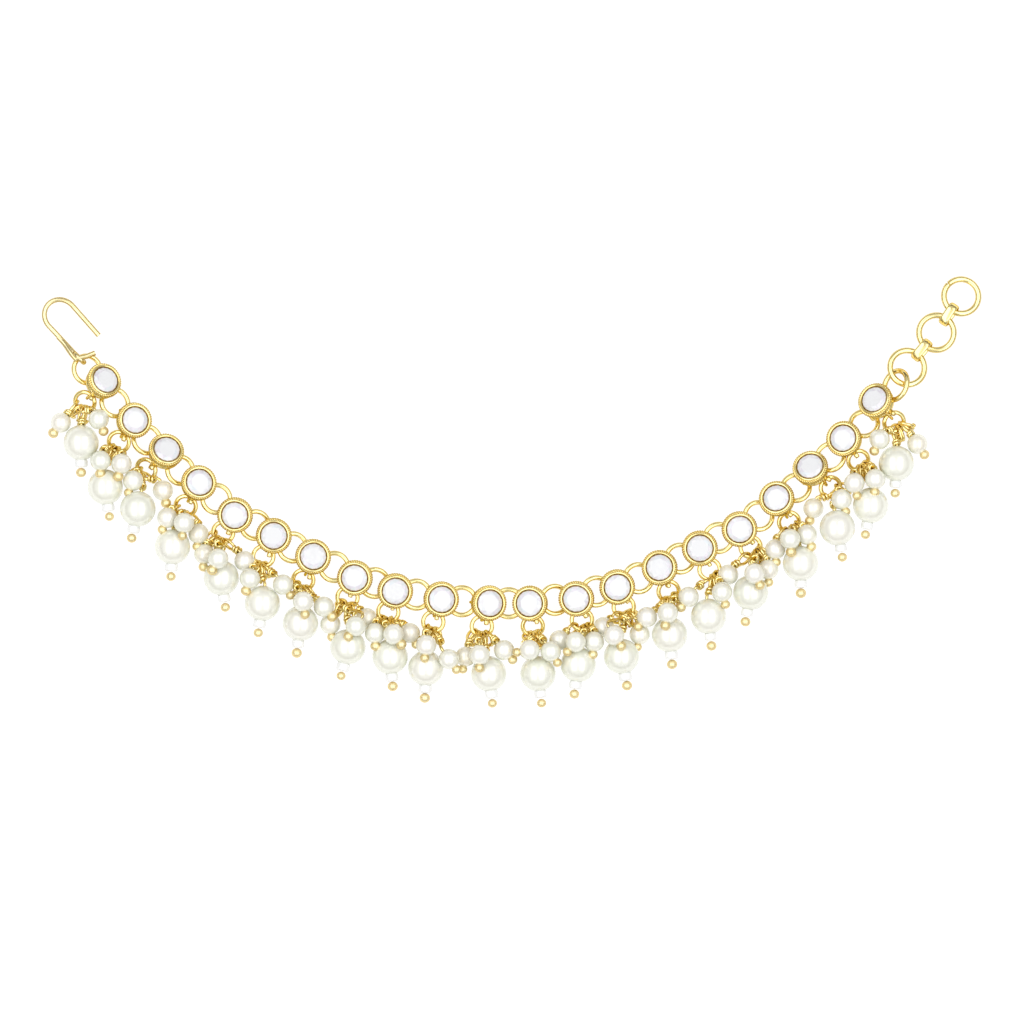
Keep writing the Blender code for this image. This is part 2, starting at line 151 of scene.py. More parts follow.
# size, heading and reach from the knot, height, heading of its tip
PEARLS = (
    (("large", -84, 1.0, 1, -90), ("small", -139, 1.25, 1.4, -126),
     ("small", -28, 1.25, 2.2, -68)),
    (("large", -100, 0.95, 1, -82), ("small", -144, 1.0, 2.4, -90),
     ("small", -78, 1.15, 2.6, -104)),
    (("large", -92, 0.9, 1.6, -102), ("small", -34, 1.6, 1.2, -76),
     ("small", -130, 0.9, 2.4, -110)),
    (("large", -103, 0.91, 1, -93), ("small", -163, 0.7, 2.2, -113),
     ("small", -75, 0.45, 3.2, -96), ("small", -56, 1.42, 1.6, -95)),
    (("large", -81, 1.0, 1, -82), ("small", -134, 1.0, 1.6, -94),
     ("small", -84, 1.1, 3.6, -118), ("small", -47, 1.8, 1.4, -66)),
    (("large", -83, 1.05, 1, -98), ("small", -122, 0.85, 2.6, -108),
     ("small", -42, 1.7, 2.4, -55)),
    (("large", -88, 0.95, 1, -97), ("small", -72, 0.7, 3.6, -81),
     ("small", -38, 1.7, 2.2, -49), ("small", -48, 2.6, 1.4, -82)),
    (("large", -84, 1.1, 1, -103), ("small", -59, 1.3, 3.4, -126),
     ("small", -28, 1.5, 1.4, -60)),
    (("large", -83, 0.97, 1, -85), ("small", -136, 0.8, 2.4, -87),
     ("small", -62, 0.8, 3.4, -52), ("small", -25, 1.45, 1.6, -60)),
    (("large", -96, 1.0, 1, -92), ("small", -108, 0.8, 3.4, -97),
     ("small", -60, 1.8, 2.8, -54)),
    (("large", -77, 1.0, 1, -83), ("small", -124, 1.45, 2.0, -103),
     ("small", -92, 1.05, 3.6, -90), ("small", -42, 1.5, 2.2, -48)),
    (("large", -82, 1.06, 1, -83), ("small", -98, 0.77, 3.4, -170),
     ("small", -42, 1.25, 3.2, -59)),
)
print("stones in the table", len(CHAIN_ROUTE), "drops in the table", len(PEARLS))

# %% [markdown]
# ## The mirrored half
#
# A mirror turns a heading round and a place over. Both are then turned and moved a little, so the
# right half hangs as it does on the real chain, and not exactly like the left one.

# %% From the tables to all the stones and drops
def heading(degrees):
    """A level direction, counted from +X."""
    return Vector((math.cos(degrees * DEG), math.sin(degrees * DEG), 0))


def mirrored_place(place):
    flipped = Vector((-place.x, place.y, place.z))
    return Matrix.Rotation(MIRROR_TURN * DEG, 3, "Z") @ flipped + MIRROR_SHIFT


def mirrored_heading(degrees):
    return 180 - degrees + MIRROR_TURN


def settings_in_order():
    """Place, lean, heading of the lean and swing of the drop for all the stones."""
    rows = []
    for x, y, lean, towards, swing in CHAIN_ROUTE:
        rows.append((Vector((x, y, 0)) * MM, lean, towards, swing))
    for place, lean, towards, swing in rows[:MIRRORED][::-1]:
        rows.append((mirrored_place(place), lean, mirrored_heading(towards), -swing))
    return rows


def drops_in_order():
    rows = list(PEARLS)
    for row in PEARLS[:MIRRORED][::-1]:
        rows.append(
            tuple(
                (size, mirrored_heading(to), reach, height, mirrored_heading(tip))
                for size, to, reach, height, tip in row
            )
        )
    return rows


print("stones", len(settings_in_order()), "drops", len(drops_in_order()))

# %% [markdown]
# ## How a setting lies
#
# Each setting gets a frame of its own: along the chain, across it, and out of its face. It is
# then lowered until the staples behind it or its rim touch the table. Working this out in the
# script keeps every ring, staple and stone on what really carries it.

# %% The frame of one setting
STRAP_LEVEL = -(LINK_WIRE + 2 * PLAY + STRAP / 2)
WIRE_LEVEL = -(LINK_WIRE / 2 + PLAY)
LINK_HALF = LINK_WIRE / 2 + PLAY + STRAP / 2
DROP_HALF = DROP_WIRE / 2 + PLAY + STRAP / 2
CHAIN_WAY = Vector((1, 0, 0))


class Seat:
    """One setting's frame: along the chain, across it, out of its face, from its back plate."""

    def __init__(self, seen, along, lean, towards, swing):
        self.out = heading(towards) * math.sin(lean * DEG) + UP * math.cos(lean * DEG)
        self.across = self.out.cross(along).normalized()
        self.along = self.across.cross(self.out).normalized()
        self.drop_way = heading(swing - 90)
        self.back = seen - self.out * SEEN_HEIGHT
        self.link_spot = CHAIN_WAY * -(LINK_RING_DIAMETER / 3)
        self.settle()

    def place(self, local):
        return self.back + self.along * local[0] + self.across * local[1] + self.out * local[2]

    def local(self, point):
        off = point - self.back
        return Vector((off.dot(self.along), off.dot(self.across), off.dot(self.out)))

    def settle(self):
        """Lower the setting until its straps or its rim meet the floor."""
        strap_base = UP * (STRAP_LEVEL - STRAP / 2)
        lows = []
        for spot, way, half in (
            (self.link_spot, CHAIN_WAY, LINK_HALF),
            (self.drop_way * DROP_REACH, self.drop_way, DROP_HALF),
        ):
            for end in (-1, 1):
                for side in (-1, 1):
                    corner = way * end * (half + STRAP / 2) + way.cross(UP) * side * STRAP / 2
                    lows.append(spot + corner + strap_base)
        for k in range(SETTING_SIDES):
            lows.append(heading(360 * (k + 0.5) / SETTING_SIDES) * RIM_RADIUS + UP * SEEN_HEIGHT)
        self.back.z -= min(self.place(low).z for low in lows)

    def matrix(self):
        turn = Matrix((self.along, self.across, self.out)).transposed().to_4x4()
        return Matrix.Translation(self.back) @ turn


def make_seats():
    rows = settings_in_order()
    seats = []
    for i, (place, lean, towards, swing) in enumerate(rows):
        before = rows[max(i - 1, 0)][0]
        after = rows[min(i + 1, len(rows) - 1)][0]
        seats.append(Seat(place, (after - before).normalized(), lean, towards, swing))
    return seats


# %% [markdown]
# ## How the rings hang together
#
# Behind each setting a ring is soldered on, and it runs in a staple of the next setting. The ring
# may lean only as far as the table lets it, so its roll is limited by the height of its middle.
# The last ring is tipped up, because the heavy end ring runs through it.

# %% The link rings
# A roll past the limit is asked for on purpose, as by the tail ring, and isn't cut back.
ROLL_LIMIT = 40 * DEG


class Ring:
    """A link ring between two anchor points, leaning as far as the floor lets it."""

    def __init__(self, near, far, roll):
        self.along = (far - near).normalized()
        self.centre = (near + far) / 2
        level = UP.cross(self.along).normalized()
        over = self.along.cross(level)
        room = max(self.centre.z - LINK_WIRE * 0.55, 0) / (LINK_RING_DIAMETER / 2)
        most = math.asin(min(room, 1)) if abs(roll) < ROLL_LIMIT else abs(roll)
        roll = max(-most, min(most, roll))
        self.across = level * math.cos(roll) + over * math.sin(roll)

    def end(self):
        return self.centre + self.along * LINK_RING_DIAMETER / 2


def roll_of(seat):
    """How far the seat's across axis leans from level."""
    return math.asin(seat.across.z)


def ring_between(seat, after):
    """A ring soldered under one setting that runs in the next one's staple."""
    start = seat.place((0, 0, WIRE_LEVEL))
    finish = after.place((0, 0, WIRE_LEVEL))
    way = (finish - start).normalized()
    middle = (start + finish) / 2
    near = seat.local(middle - way * LINK_RING_DIAMETER / 2)
    near.z = 0
    if near.length > PLATE_RADIUS:
        near = near.normalized() * PLATE_RADIUS
    near = seat.place(near)
    far = after.local(near + way * LINK_RING_DIAMETER)
    far.z = WIRE_LEVEL
    roll = (roll_of(seat) + roll_of(after)) / 2
    return Ring(near, after.place(far), roll)


def make_link_rings(seats):
    """The rings between the settings, with each setting lowered to the floor round its ring."""
    rings = []
    for _ in range(4):
        rings = [ring_between(seat, after) for seat, after in zip(seats, seats[1:])]
        for ring, after in zip(rings, seats[1:]):
            after.link_spot = after.local(ring.end())
            after.link_spot.z = 0
            after.settle()
    return rings


def level_way(direction):
    return Vector((direction.x, direction.y, 0)).normalized()


class TailRing(Ring):
    """The last setting's ring, tipped up so that the first end ring runs through it."""

    def __init__(self, last):
        along = level_way(last.along)
        start = last.place((0, 0, 0))
        near = last.local(start + along * (TAIL_RING_REACH - LINK_RING_DIAMETER / 2))
        near.z = 0
        near = last.place(near)
        centre = start + along * TAIL_RING_REACH
        lean = math.sin(-TAIL_RING_ROLL * DEG)
        centre.z = (LINK_RING_DIAMETER * lean + LINK_WIRE) / 2 + PLAY / 2
        super().__init__(near, centre * 2 - near, TAIL_RING_ROLL * DEG)


def make_hook_ring(first):
    """The ring in the first setting's staple, and the height of the hook's eye on it."""
    way = heading(HOOK_RING_HEADING)
    start = first.place((0, 0, WIRE_LEVEL)) + way * HOOK_RING_OFFSET
    far = start + way * LINK_RING_DIAMETER
    far.z = HOOK_EYE_RADIUS + HOOK_WIRE / 2
    ring = Ring(far, start, roll_of(first))
    first.link_spot = first.local(ring.end())
    first.link_spot.z = 0
    first.settle()
    return ring


seats = make_seats()
# The first call lowers the seat, so the second one finds the ring's true place.
make_hook_ring(seats[0])
hook_ring = make_hook_ring(seats[0])
link_rings = make_link_rings(seats)
link_rings.append(TailRing(seats[-1]))
print("link rings", len(link_rings))

# %% [markdown]
# ## Where the pearls come to rest
#
# The pearls of a cluster crowd each other. Each one starts where it is seen in the picture, and a
# short loop then pushes apart the ones that would overlap and keeps them on the table. The heavy
# ones move less than the light ones.

# %% The pearl drops
def touching_push(first, other):
    """How far the first must move to clear the other, over all the spheres of each."""
    worst = Vector()
    for offset, radius in first["spheres"]:
        for other_offset, other_radius in other["spheres"]:
            apart = first["centre"] + offset - other["centre"] - other_offset
            least = radius + other_radius + PEARL_GAP
            if apart.length < least and least - apart.length > worst.length:
                worst = apart.normalized() * (least - apart.length)
    return worst


def ease_apart(pearls, fixed):
    """Push pearls apart until none overlap, keeping each on or above the floor."""
    for _ in range(EASE_ROUNDS):
        for i, first in enumerate(pearls):
            for other in pearls[i + 1:]:
                push = touching_push(first, other)
                share = other["weight"] / (first["weight"] + other["weight"])
                first["centre"] += push * share
                other["centre"] -= push * (1 - share)
            for other in fixed:
                first["centre"] += touching_push(first, other)
            first["centre"].z = max(first["centre"].z, first["radius"])


class Drop:
    """A ring in a setting's staple, and the pearls on the knot at its lower end."""

    def __init__(self, seat, pearls):
        way = seat.drop_way
        self.top = seat.place(way * DROP_REACH + UP * WIRE_LEVEL)
        plan = seat.matrix().to_3x3() @ way
        plan.z = 0
        plan.normalize()
        fall = (self.top.z - DROP_WIRE) / DROP_RING_DIAMETER
        self.along = (plan * math.sqrt(1 - fall * fall) - UP * fall).normalized()
        self.across = UP.cross(plan)
        self.centre = self.top + self.along * DROP_RING_DIAMETER / 2
        self.knot = self.top + self.along * DROP_RING_DIAMETER
        self.pearls = []
        for size, to, reach, height, tip in pearls:
            width, stem = (LARGE_PEARL, LARGE_STEM) if size == "large" else (SMALL_PEARL, SMALL_STEM)
            radius = width / 2
            centre = self.knot + heading(to) * reach * (radius + stem)
            centre.z = radius * height
            spheres = [(Vector(), radius)]
            if size == "large":
                spheres.append((heading(tip) * (radius + TIP_LENGTH / 2), TIP_WIDTH / 2))
            self.pearls.append(
                {"centre": centre, "radius": radius, "spheres": spheres, "tip": heading(tip),
                 "weight": 3 if size == "large" else 1}
            )


def make_drops(seats):
    drops = [Drop(seat, pearls) for seat, pearls in zip(seats, drops_in_order())]
    fixed = []
    for seat in seats:
        cup = [(Vector(), RIM_RADIUS)]
        fixed.append({"centre": seat.place((0, 0, CUP_HEIGHT)), "spheres": cup})
    for drop in drops:
        fixed.append({"centre": drop.centre, "spheres": [(Vector(), DROP_WIRE)]})
    ease_apart([pearl for drop in drops for pearl in drop.pearls], fixed)
    return drops


drops = make_drops(seats)
pearls = [pearl for drop in drops for pearl in drop.pearls]
large_pearls = [pearl for pearl in pearls if pearl["radius"] > SMALL_PEARL / 2]
small_pearls = [pearl for pearl in pearls if pearl["radius"] <= SMALL_PEARL / 2]
print("large pearls", len(large_pearls), "small pearls", len(small_pearls))

# %% [markdown]
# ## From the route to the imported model
#
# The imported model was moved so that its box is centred. The middle of the first end ring is known
# in both, so the difference of the two is the move, and every fine piece gets the same one.

# %% The shift between the two
ring_low, ring_high = [Vector(corner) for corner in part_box("end_ring_1")]
hook_low = Vector(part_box("hook")[0])
packed = (ring_low + ring_high) / 2
END_RING_X, END_RING_Y = END_RING_PLACES[0][:2]
SHIFT = Vector((packed.x - END_RING_X * MM, packed.y - END_RING_Y * MM, hook_low.z))
TO_FRAME = Matrix.Translation(SHIFT)
print("shift in mm", [round(v / MM, 4) for v in SHIFT])

# %% [markdown]
# ## A small language for node trees
#
# Materials and Geometry Nodes are both trees of nodes. Wired by hand in a script they are hard to
# read. One class adds any node from its type, its settings and its sockets, and a second wraps a
# number socket, so that a sum or product can be written as a plain Python expression.

# %% Node trees as expressions
class Number:
    """A socket that holds a number; arithmetic on it adds Math nodes to its tree."""

    def __init__(self, tree, socket):
        self.tree = tree
        self.socket = socket

    def math(self, operation, *values):
        node = self.tree.node("ShaderNodeMath", {"operation": operation}, dict(enumerate(values)))
        return Number(self.tree, node.outputs[0])

    def __add__(self, other):
        return self.math("ADD", self, other)

    def __sub__(self, other):
        return self.math("SUBTRACT", self, other)

    def __rsub__(self, other):
        return self.math("SUBTRACT", other, self)

    def __mul__(self, other):
        return self.math("MULTIPLY", self, other)

    def __truediv__(self, other):
        return self.math("DIVIDE", self, other)

    def __rtruediv__(self, other):
        return self.math("DIVIDE", other, self)

    def __pow__(self, other):
        return self.math("POWER", self, other)

    def __rpow__(self, other):
        return self.math("POWER", other, self)

    __radd__ = __add__
    __rmul__ = __mul__

    def clamped(self):
        return self.math("MINIMUM", self.math("MAXIMUM", self, 0.0), 1.0)

    def above(self, edge, soft):
        """0 below the edge, 1 above it, with a soft step between."""
        return ((self - (edge - soft)) / (2 * soft)).clamped()


class Tree:
    """A node tree, and the one way in which nodes are added to it."""

    def __init__(self, nodes):
        self.tree = nodes

    def node(self, kind, settings=None, sockets=None):
        node = self.tree.nodes.new(kind)
        for name, value in (settings or {}).items():
            if name == "stops":
                self.set_stops(node, value)
            else:
                setattr(node, name, value)
        for key, value in (sockets or {}).items():
            target = node.inputs[key]
            if isinstance(value, Number):
                self.tree.links.new(value.socket, target)
            elif isinstance(value, bpy.types.NodeSocket):
                self.tree.links.new(value, target)
            else:
                target.default_value = value
        return node

    def set_stops(self, node, stops):
        ramp = node.color_ramp
        while len(ramp.elements) < len(stops):
            ramp.elements.new(1.0)
        for element, (place, colour) in zip(ramp.elements, stops):
            element.position = place
            element.color = colour


print("node language ready")

# %% [markdown]
# ## Geometry Nodes: one thing on many places
#
# A chain is the same piece again and again. A cloud of points holds where each copy goes, how it
# is turned, how large it is and its tint. One tree then puts a shape on every point. The copies
# are made real at the end, because an exported model has no instances.

# %% Trees that repeat a shape
def geometry_tree(name, inputs):
    """An empty Geometry Nodes tree with named inputs, given as label, socket type and value."""
    group = bpy.data.node_groups.new(name, "GeometryNodeTree")
    group.interface.new_socket("Geometry", in_out="INPUT", socket_type="NodeSocketGeometry")
    for label, kind, value in inputs:
        socket = group.interface.new_socket(label, in_out="INPUT", socket_type=kind)
        if value is not None:
            socket.default_value = value
    group.interface.new_socket("Geometry", in_out="OUTPUT", socket_type="NodeSocketGeometry")
    tree = Tree(group)
    return tree, tree.node("NodeGroupInput").outputs


def close_tree(tree, geometry, material, smooth=True):
    """Make copies real, note how far each spot faces sideways, and end the tree with a material."""
    real = tree.node("GeometryNodeRealizeInstances", sockets={0: geometry})
    # How far a spot faces sideways; the gold and pearl finishes paint shade and dark reflection there.
    facing = tree.node("GeometryNodeInputNormal").outputs[0]
    level = Number(tree, tree.node("ShaderNodeSeparateXYZ", sockets={0: facing}).outputs["Z"])
    side = 1.0 - level.math("ABSOLUTE", level)
    marked = tree.node("GeometryNodeStoreNamedAttribute", {"data_type": "FLOAT", "domain": "POINT"}, {
        "Geometry": real.outputs[0], "Name": "side", "Value": side})
    shade = tree.node("GeometryNodeSetShadeSmooth", sockets={
        "Geometry": marked.outputs[0], "Shade Smooth": smooth})
    last = tree.node("GeometryNodeSetMaterial", sockets={"Geometry": shade.outputs[0],
                                                         "Material": material})
    tree.node("NodeGroupOutput", sockets={0: last.outputs[0]})


def stored(tree, name, kind="FLOAT"):
    """The output that reads a named attribute of the points."""
    node = tree.node("GeometryNodeInputNamedAttribute", {"data_type": kind}, {"Name": name})
    return node.outputs["Attribute"]


def on_every_point(tree, points, shape):
    """Instance a shape on points, turned and sized by their own attributes."""
    turn = tree.node("FunctionNodeEulerToRotation", sockets={0: stored(tree, "turn", "FLOAT_VECTOR")})
    copies = tree.node("GeometryNodeInstanceOnPoints", sockets={
        "Points": points, "Instance": shape, "Rotation": turn.outputs[0],
        "Scale": stored(tree, "size", "FLOAT_VECTOR"),
    })
    return copies.outputs[0]


def repeat_tree(smooth):
    """Puts a given object on every point."""
    tree, inputs = geometry_tree("repeat_smooth" if smooth else "repeat_flat", (
        ("Shape", "NodeSocketObject", None),
        ("Finish", "NodeSocketMaterial", None),
    ))
    shape = tree.node("GeometryNodeObjectInfo", sockets={"Object": inputs["Shape"]})
    copies = on_every_point(tree, inputs["Geometry"], shape.outputs["Geometry"])
    close_tree(tree, copies, inputs["Finish"], smooth)
    return tree.tree


def round_section(tree, sides, wire):
    """The round section that a wire is swept with."""
    section = tree.node("GeometryNodeCurvePrimitiveCircle", sockets={
        "Resolution": sides, "Radius": Number(tree, wire) * 0.5})
    return section.outputs["Curve"]


def ring_tree():
    """Puts a round wire ring on every point."""
    tree, inputs = geometry_tree("wire_rings", (
        ("Diameter", "NodeSocketFloat", LINK_RING_DIAMETER),
        ("Wire", "NodeSocketFloat", LINK_WIRE),
        ("Steps", "NodeSocketInt", 56),
        ("Sides", "NodeSocketInt", 16),
        ("Finish", "NodeSocketMaterial", None),
    ))
    path = tree.node("GeometryNodeCurvePrimitiveCircle", sockets={
        "Resolution": inputs["Steps"], "Radius": Number(tree, inputs["Diameter"]) * 0.5})
    ring = tree.node("GeometryNodeCurveToMesh", sockets={
        "Curve": path.outputs["Curve"],
        "Profile Curve": round_section(tree, inputs["Sides"], inputs["Wire"])})
    copies = on_every_point(tree, inputs["Geometry"], ring.outputs[0])
    close_tree(tree, copies, inputs["Finish"])
    return tree.tree


def wire_tree():
    """Sweeps a round wire along every chain of edges."""
    tree, inputs = geometry_tree("bent_wires", (
        ("Wire", "NodeSocketFloat", PIN),
        ("Sides", "NodeSocketInt", 10),
        ("Finish", "NodeSocketMaterial", None),
    ))
    path = tree.node("GeometryNodeMeshToCurve", sockets={"Mesh": inputs["Geometry"]})
    swept = tree.node("GeometryNodeCurveToMesh", sockets={
        "Curve": path.outputs[0], "Fill Caps": True,
        "Profile Curve": round_section(tree, inputs["Sides"], inputs["Wire"])})
    close_tree(tree, swept.outputs[0], inputs["Finish"])
    return tree.tree


REPEAT_SMOOTH = repeat_tree(True)
REPEAT_FLAT = repeat_tree(False)
WIRE_RINGS = ring_tree()
BENT_WIRES = wire_tree()
print("trees", [group.name for group in bpy.data.node_groups])

# %% [markdown]
# A tree becomes a plain mesh in three steps: the values go into the modifier by the identifier of
# each socket, the object is evaluated once, and the modifier is taken away again.

# %% From a tree to a plain piece
def put_in_scene(name, mesh):
    thing = bpy.data.objects.new(name, mesh)
    bpy.context.scene.collection.objects.link(thing)
    return thing


def grow(name, mesh, tree, **values):
    """Run a tree on a mesh and keep the result as a plain mesh object."""
    thing = put_in_scene(name, mesh)
    modifier = thing.modifiers.new(tree.name, "NODES")
    modifier.node_group = tree
    for item in tree.interface.items_tree:
        if item.in_out == "INPUT" and item.name in values:
            modifier[item.identifier] = values[item.name]
    graph = bpy.context.evaluated_depsgraph_get()
    made = bpy.data.meshes.new_from_object(
        thing.evaluated_get(graph), preserve_all_data_layers=True, depsgraph=graph
    )
    thing.modifiers.clear()
    thing.data = made
    made.name = name
    made.materials.clear()
    made.materials.append(values["Finish"])
    made.polygons.foreach_set("material_index", [0] * len(made.polygons))
    triangles = sum(len(face.vertices) - 2 for face in made.polygons)
    print(name, "triangles", triangles, "finish", made.materials[0].name)
    return thing


def points_mesh(name, places):
    """A cloud of points from rows of matrix, size and tint."""
    mesh = bpy.data.meshes.new(name + "_places")
    mesh.from_pydata([(TO_FRAME @ place).to_translation() for place, _, _ in places], [], [])
    for label, kind in (("turn", "FLOAT_VECTOR"), ("size", "FLOAT_VECTOR"), ("tint", "FLOAT")):
        mesh.attributes.new(label, kind, "POINT")
    for i, (place, scale, shade) in enumerate(places):
        mesh.attributes["turn"].data[i].vector = place.to_3x3().to_euler()
        mesh.attributes["size"].data[i].vector = (scale, scale, scale)
        mesh.attributes["tint"].data[i].value = shade
    return mesh


def paths_mesh(name, paths):
    """Chains of edges through lists of points; a closed chain ends with its first point."""
    points = []
    edges = []
    for path in paths:
        closed = (path[0] - path[-1]).length < 1e-9
        start = len(points)
        own = path[:-1] if closed else path
        points += [TO_FRAME @ point for point in own]
        edges += [(start + k, start + k + 1) for k in range(len(own) - 1)]
        if closed:
            edges.append((start + len(own) - 1, start))
    mesh = bpy.data.meshes.new(name + "_paths")
    mesh.from_pydata(points, edges, [])
    return mesh


def repeat_shape(name, shape_mesh, places, finish, smooth=True):
    """Put one shape on many places and drop the shape itself."""
    shape = put_in_scene(name + "_shape", shape_mesh)
    tree = REPEAT_SMOOTH if smooth else REPEAT_FLAT
    piece = grow(name, points_mesh(name, places), tree, Shape=shape, Finish=finish)
    bpy.data.objects.remove(shape, do_unlink=True)
    return piece


def frame_of(centre, along, across):
    """A place with +X along and +Y across."""
    along = along.normalized()
    normal = along.cross(across).normalized()
    turn = Matrix((along, normal.cross(along), normal)).transposed().to_4x4()
    return Matrix.Translation(centre) @ turn


def aimed(centre, direction):
    """A place whose +Z points along the direction."""
    return Matrix.Translation(centre) @ UP.rotation_difference(direction).to_matrix().to_4x4()


# %% [markdown]
# ## Turned shapes
#
# Cups, lugs, pearls, spacers and balls are all round about a line, as work on a lathe is. So half
# an outline is enough for each: its points are turned into rings of corners, and neighbouring
# rings are joined by faces. The mesh library's own tool then turns all the faces outwards. The
# same small helpers also serve the cut stones and the strip links further down.

# %% The lathe
def circle_points(skin, radius, height, count, offset=0.0):
    turns = [math.tau * (i + offset) / count for i in range(count)]
    return [skin.verts.new((radius * math.cos(t), radius * math.sin(t), height)) for t in turns]


def mesh_of(name, skin, split_kites=False):
    """Turn the faces outwards, cut kites into flat triangles where asked, and make a mesh."""
    bmesh.ops.recalc_face_normals(skin, faces=skin.faces)
    if split_kites:
        bmesh.ops.triangulate(skin, faces=[face for face in skin.faces if len(face.verts) == 4])
    mesh = bpy.data.meshes.new(name)
    skin.to_mesh(mesh)
    skin.free()
    return mesh


def lathe(name, profile, sides, groove=None):
    """A solid of revolution; the profile starts and ends on the axis, from bottom to top."""
    skin = bmesh.new()
    rows = []
    for radius, height in profile:
        if radius < 1e-9:
            rows.append([skin.verts.new((0, 0, height))])
        else:
            rows.append(circle_points(skin, radius, height, sides))
    for low, high in zip(rows, rows[1:]):
        for i in range(sides):
            j = (i + 1) % sides
            corners = [low[i % len(low)], low[j % len(low)], high[j % len(high)], high[i % len(high)]]
            skin.faces.new(list(dict.fromkeys(corners)))
    mesh = mesh_of(name, skin)
    if groove:
        depth = mesh.attributes.new("groove", "FLOAT", "POINT")
        for corner, value in zip(depth.data, mesh.vertices):
            corner.value = groove(value.co)
    return mesh


print("lathe ready")

# %% [markdown]
# ## What every finish starts with
#
# Each finish reads the place on its piece, clouds of noise of several sizes, and numbers that a
# piece stores on its points: how deep a groove is, how far a spot faces sideways, and a tint of
# its own. These helpers keep the finishes below short, and are used by the table as well.

# %% Helpers for finishes
def new_finish(name):
    """A material, its tree, its shader and the place on the piece."""
    material = bpy.data.materials.new(name)
    material.use_nodes = True
    tree = Tree(material.node_tree)
    place = tree.node("ShaderNodeTexCoord").outputs["Object"]
    return material, tree, material.node_tree.nodes["Principled BSDF"], place


def noise(tree, place, scale, detail, roughness=0.5):
    return Number(tree, tree.node("ShaderNodeTexNoise", sockets={
        "Vector": place, "Scale": scale, "Detail": detail, "Roughness": roughness}).outputs["Fac"])


def noted(tree, name):
    """A number that the piece stores on its points or faces."""
    return Number(tree, tree.node("ShaderNodeAttribute", {"attribute_name": name}).outputs["Fac"])


def blend(tree, share, first, second):
    node = tree.node("ShaderNodeMix", {"data_type": "RGBA"}, {0: share, 6: first, 7: second})
    return node.outputs[2]


def relief(tree, height, strength, distance):
    node = tree.node("ShaderNodeBump", sockets={
        "Strength": strength, "Distance": distance, "Height": height})
    return node.outputs[0]


def feed(tree, shader, varying, fixed):
    """Link what changes over the surface, and set what doesn't on the shader itself."""
    for name, value in varying.items():
        tree.tree.links.new(value.socket if isinstance(value, Number) else value, shader.inputs[name])
    for name, value in fixed.items():
        shader.inputs[name].default_value = value


print("finish helpers ready")

# %% [markdown]
# ## Gold
#
# The chain is gilt brass: a bright lemon-yellow metal, a little soft from handling. A perfect
# mirror looks like plastic, so the tree lets the colour drift slowly and adds fine polishing
# marks. The base colour is painted darker and browner in the grooves of a rope edge and of a cup,
# as painted shade, and on flanks that face sideways, as a painted reflection of the dark sides of
# the room. The hook's wire is paler, and the small balls have a satin skin.

# %% The gold finishes
# The colour of painted shade and painted dark reflection, towards which grooves and sideways flanks are
# mixed.
SHADED_GOLD = (0.66, 0.46, 0.11, 1)
EDGE_GOLD = (0.52, 0.36, 0.09, 1)


def metal(name, light, dark, rough, scratch, flank=0.55):
    """A polished metal with drifting colour and polishing marks, painted shade in the grooves and a
    painted dark reflection on sideways flanks.
    """
    material, tree, shader, place = new_finish(name)
    drift = noise(tree, place, 420.0, 3.0, 0.6)
    grain = noise(tree, place, 5200.0, 4.0, 0.7)
    groove = noted(tree, "groove")
    # Random colour drift, plus painted shade where the piece notes a groove.
    drift_and_groove_shade = (drift.above(0.52, 0.16) * 0.6 + groove * 0.5).clamped()
    # Painted shade in deep grooves and a painted dark reflection on flanks that face sideways.
    shaded = (groove * groove * 0.85 + noted(tree, "side").above(0.4, 0.2) * flank).clamped()
    feed(tree, shader, {
        "Base Color": blend(tree, shaded, blend(tree, drift_and_groove_shade, light, dark), SHADED_GOLD),
        "Roughness": rough + (drift * 0.1) + (grain * scratch) + (groove * 0.12),
        "Normal": relief(tree, grain, 0.12, 0.00003),
    }, {"Metallic": 1.0, "Specular Tint": EDGE_GOLD})
    return material


GOLD = metal("polished_yellow_gold", (1.0, 0.87, 0.42, 1), (0.98, 0.75, 0.28, 1), 0.05, 0.08)
WIRE_GOLD = metal("deep_gold_wire", (1.0, 0.88, 0.45, 1), (0.98, 0.75, 0.28, 1), 0.04, 0.08)
HOOK_GOLD = metal("champagne_gold_wire", (0.86, 0.75, 0.43, 1), (0.72, 0.57, 0.26, 1), 0.12, 0.12)
BALL_GOLD = metal("satin_gold_balls", (1.0, 0.86, 0.51, 1), (1.0, 0.82, 0.45, 1), 0.36, 0.1,
                  flank=0.2)
print("metals", GOLD.name, WIRE_GOLD.name, HOOK_GOLD.name, BALL_GOLD.name)

# %% [markdown]
# ## Pearl
#
# The pearls are glass beads in many coats of pearl lacquer. The gloss comes from the clear top
# coat, and the depth from a slightly softer layer below, so a coat over a satin base fits best.
# Each pearl has a tint of its own between greenish, ivory and tan, and its flanks are painted
# darker and greener than its top, as painted shade.

# %% The pearl finish
PEARL_TINTS = (
    (0.0, (0.85, 0.88, 0.76, 1)),
    (0.35, (0.90, 0.90, 0.80, 1)),
    (0.6, (0.93, 0.90, 0.83, 1)),
    (1.0, (0.91, 0.85, 0.68, 1)),
)
PEARL_CLOUD = (0.91, 0.91, 0.85, 1)
# Painted shade on the flanks of a pearl.
PEARL_FLANK_SHADE = (0.79, 0.81, 0.67, 1)


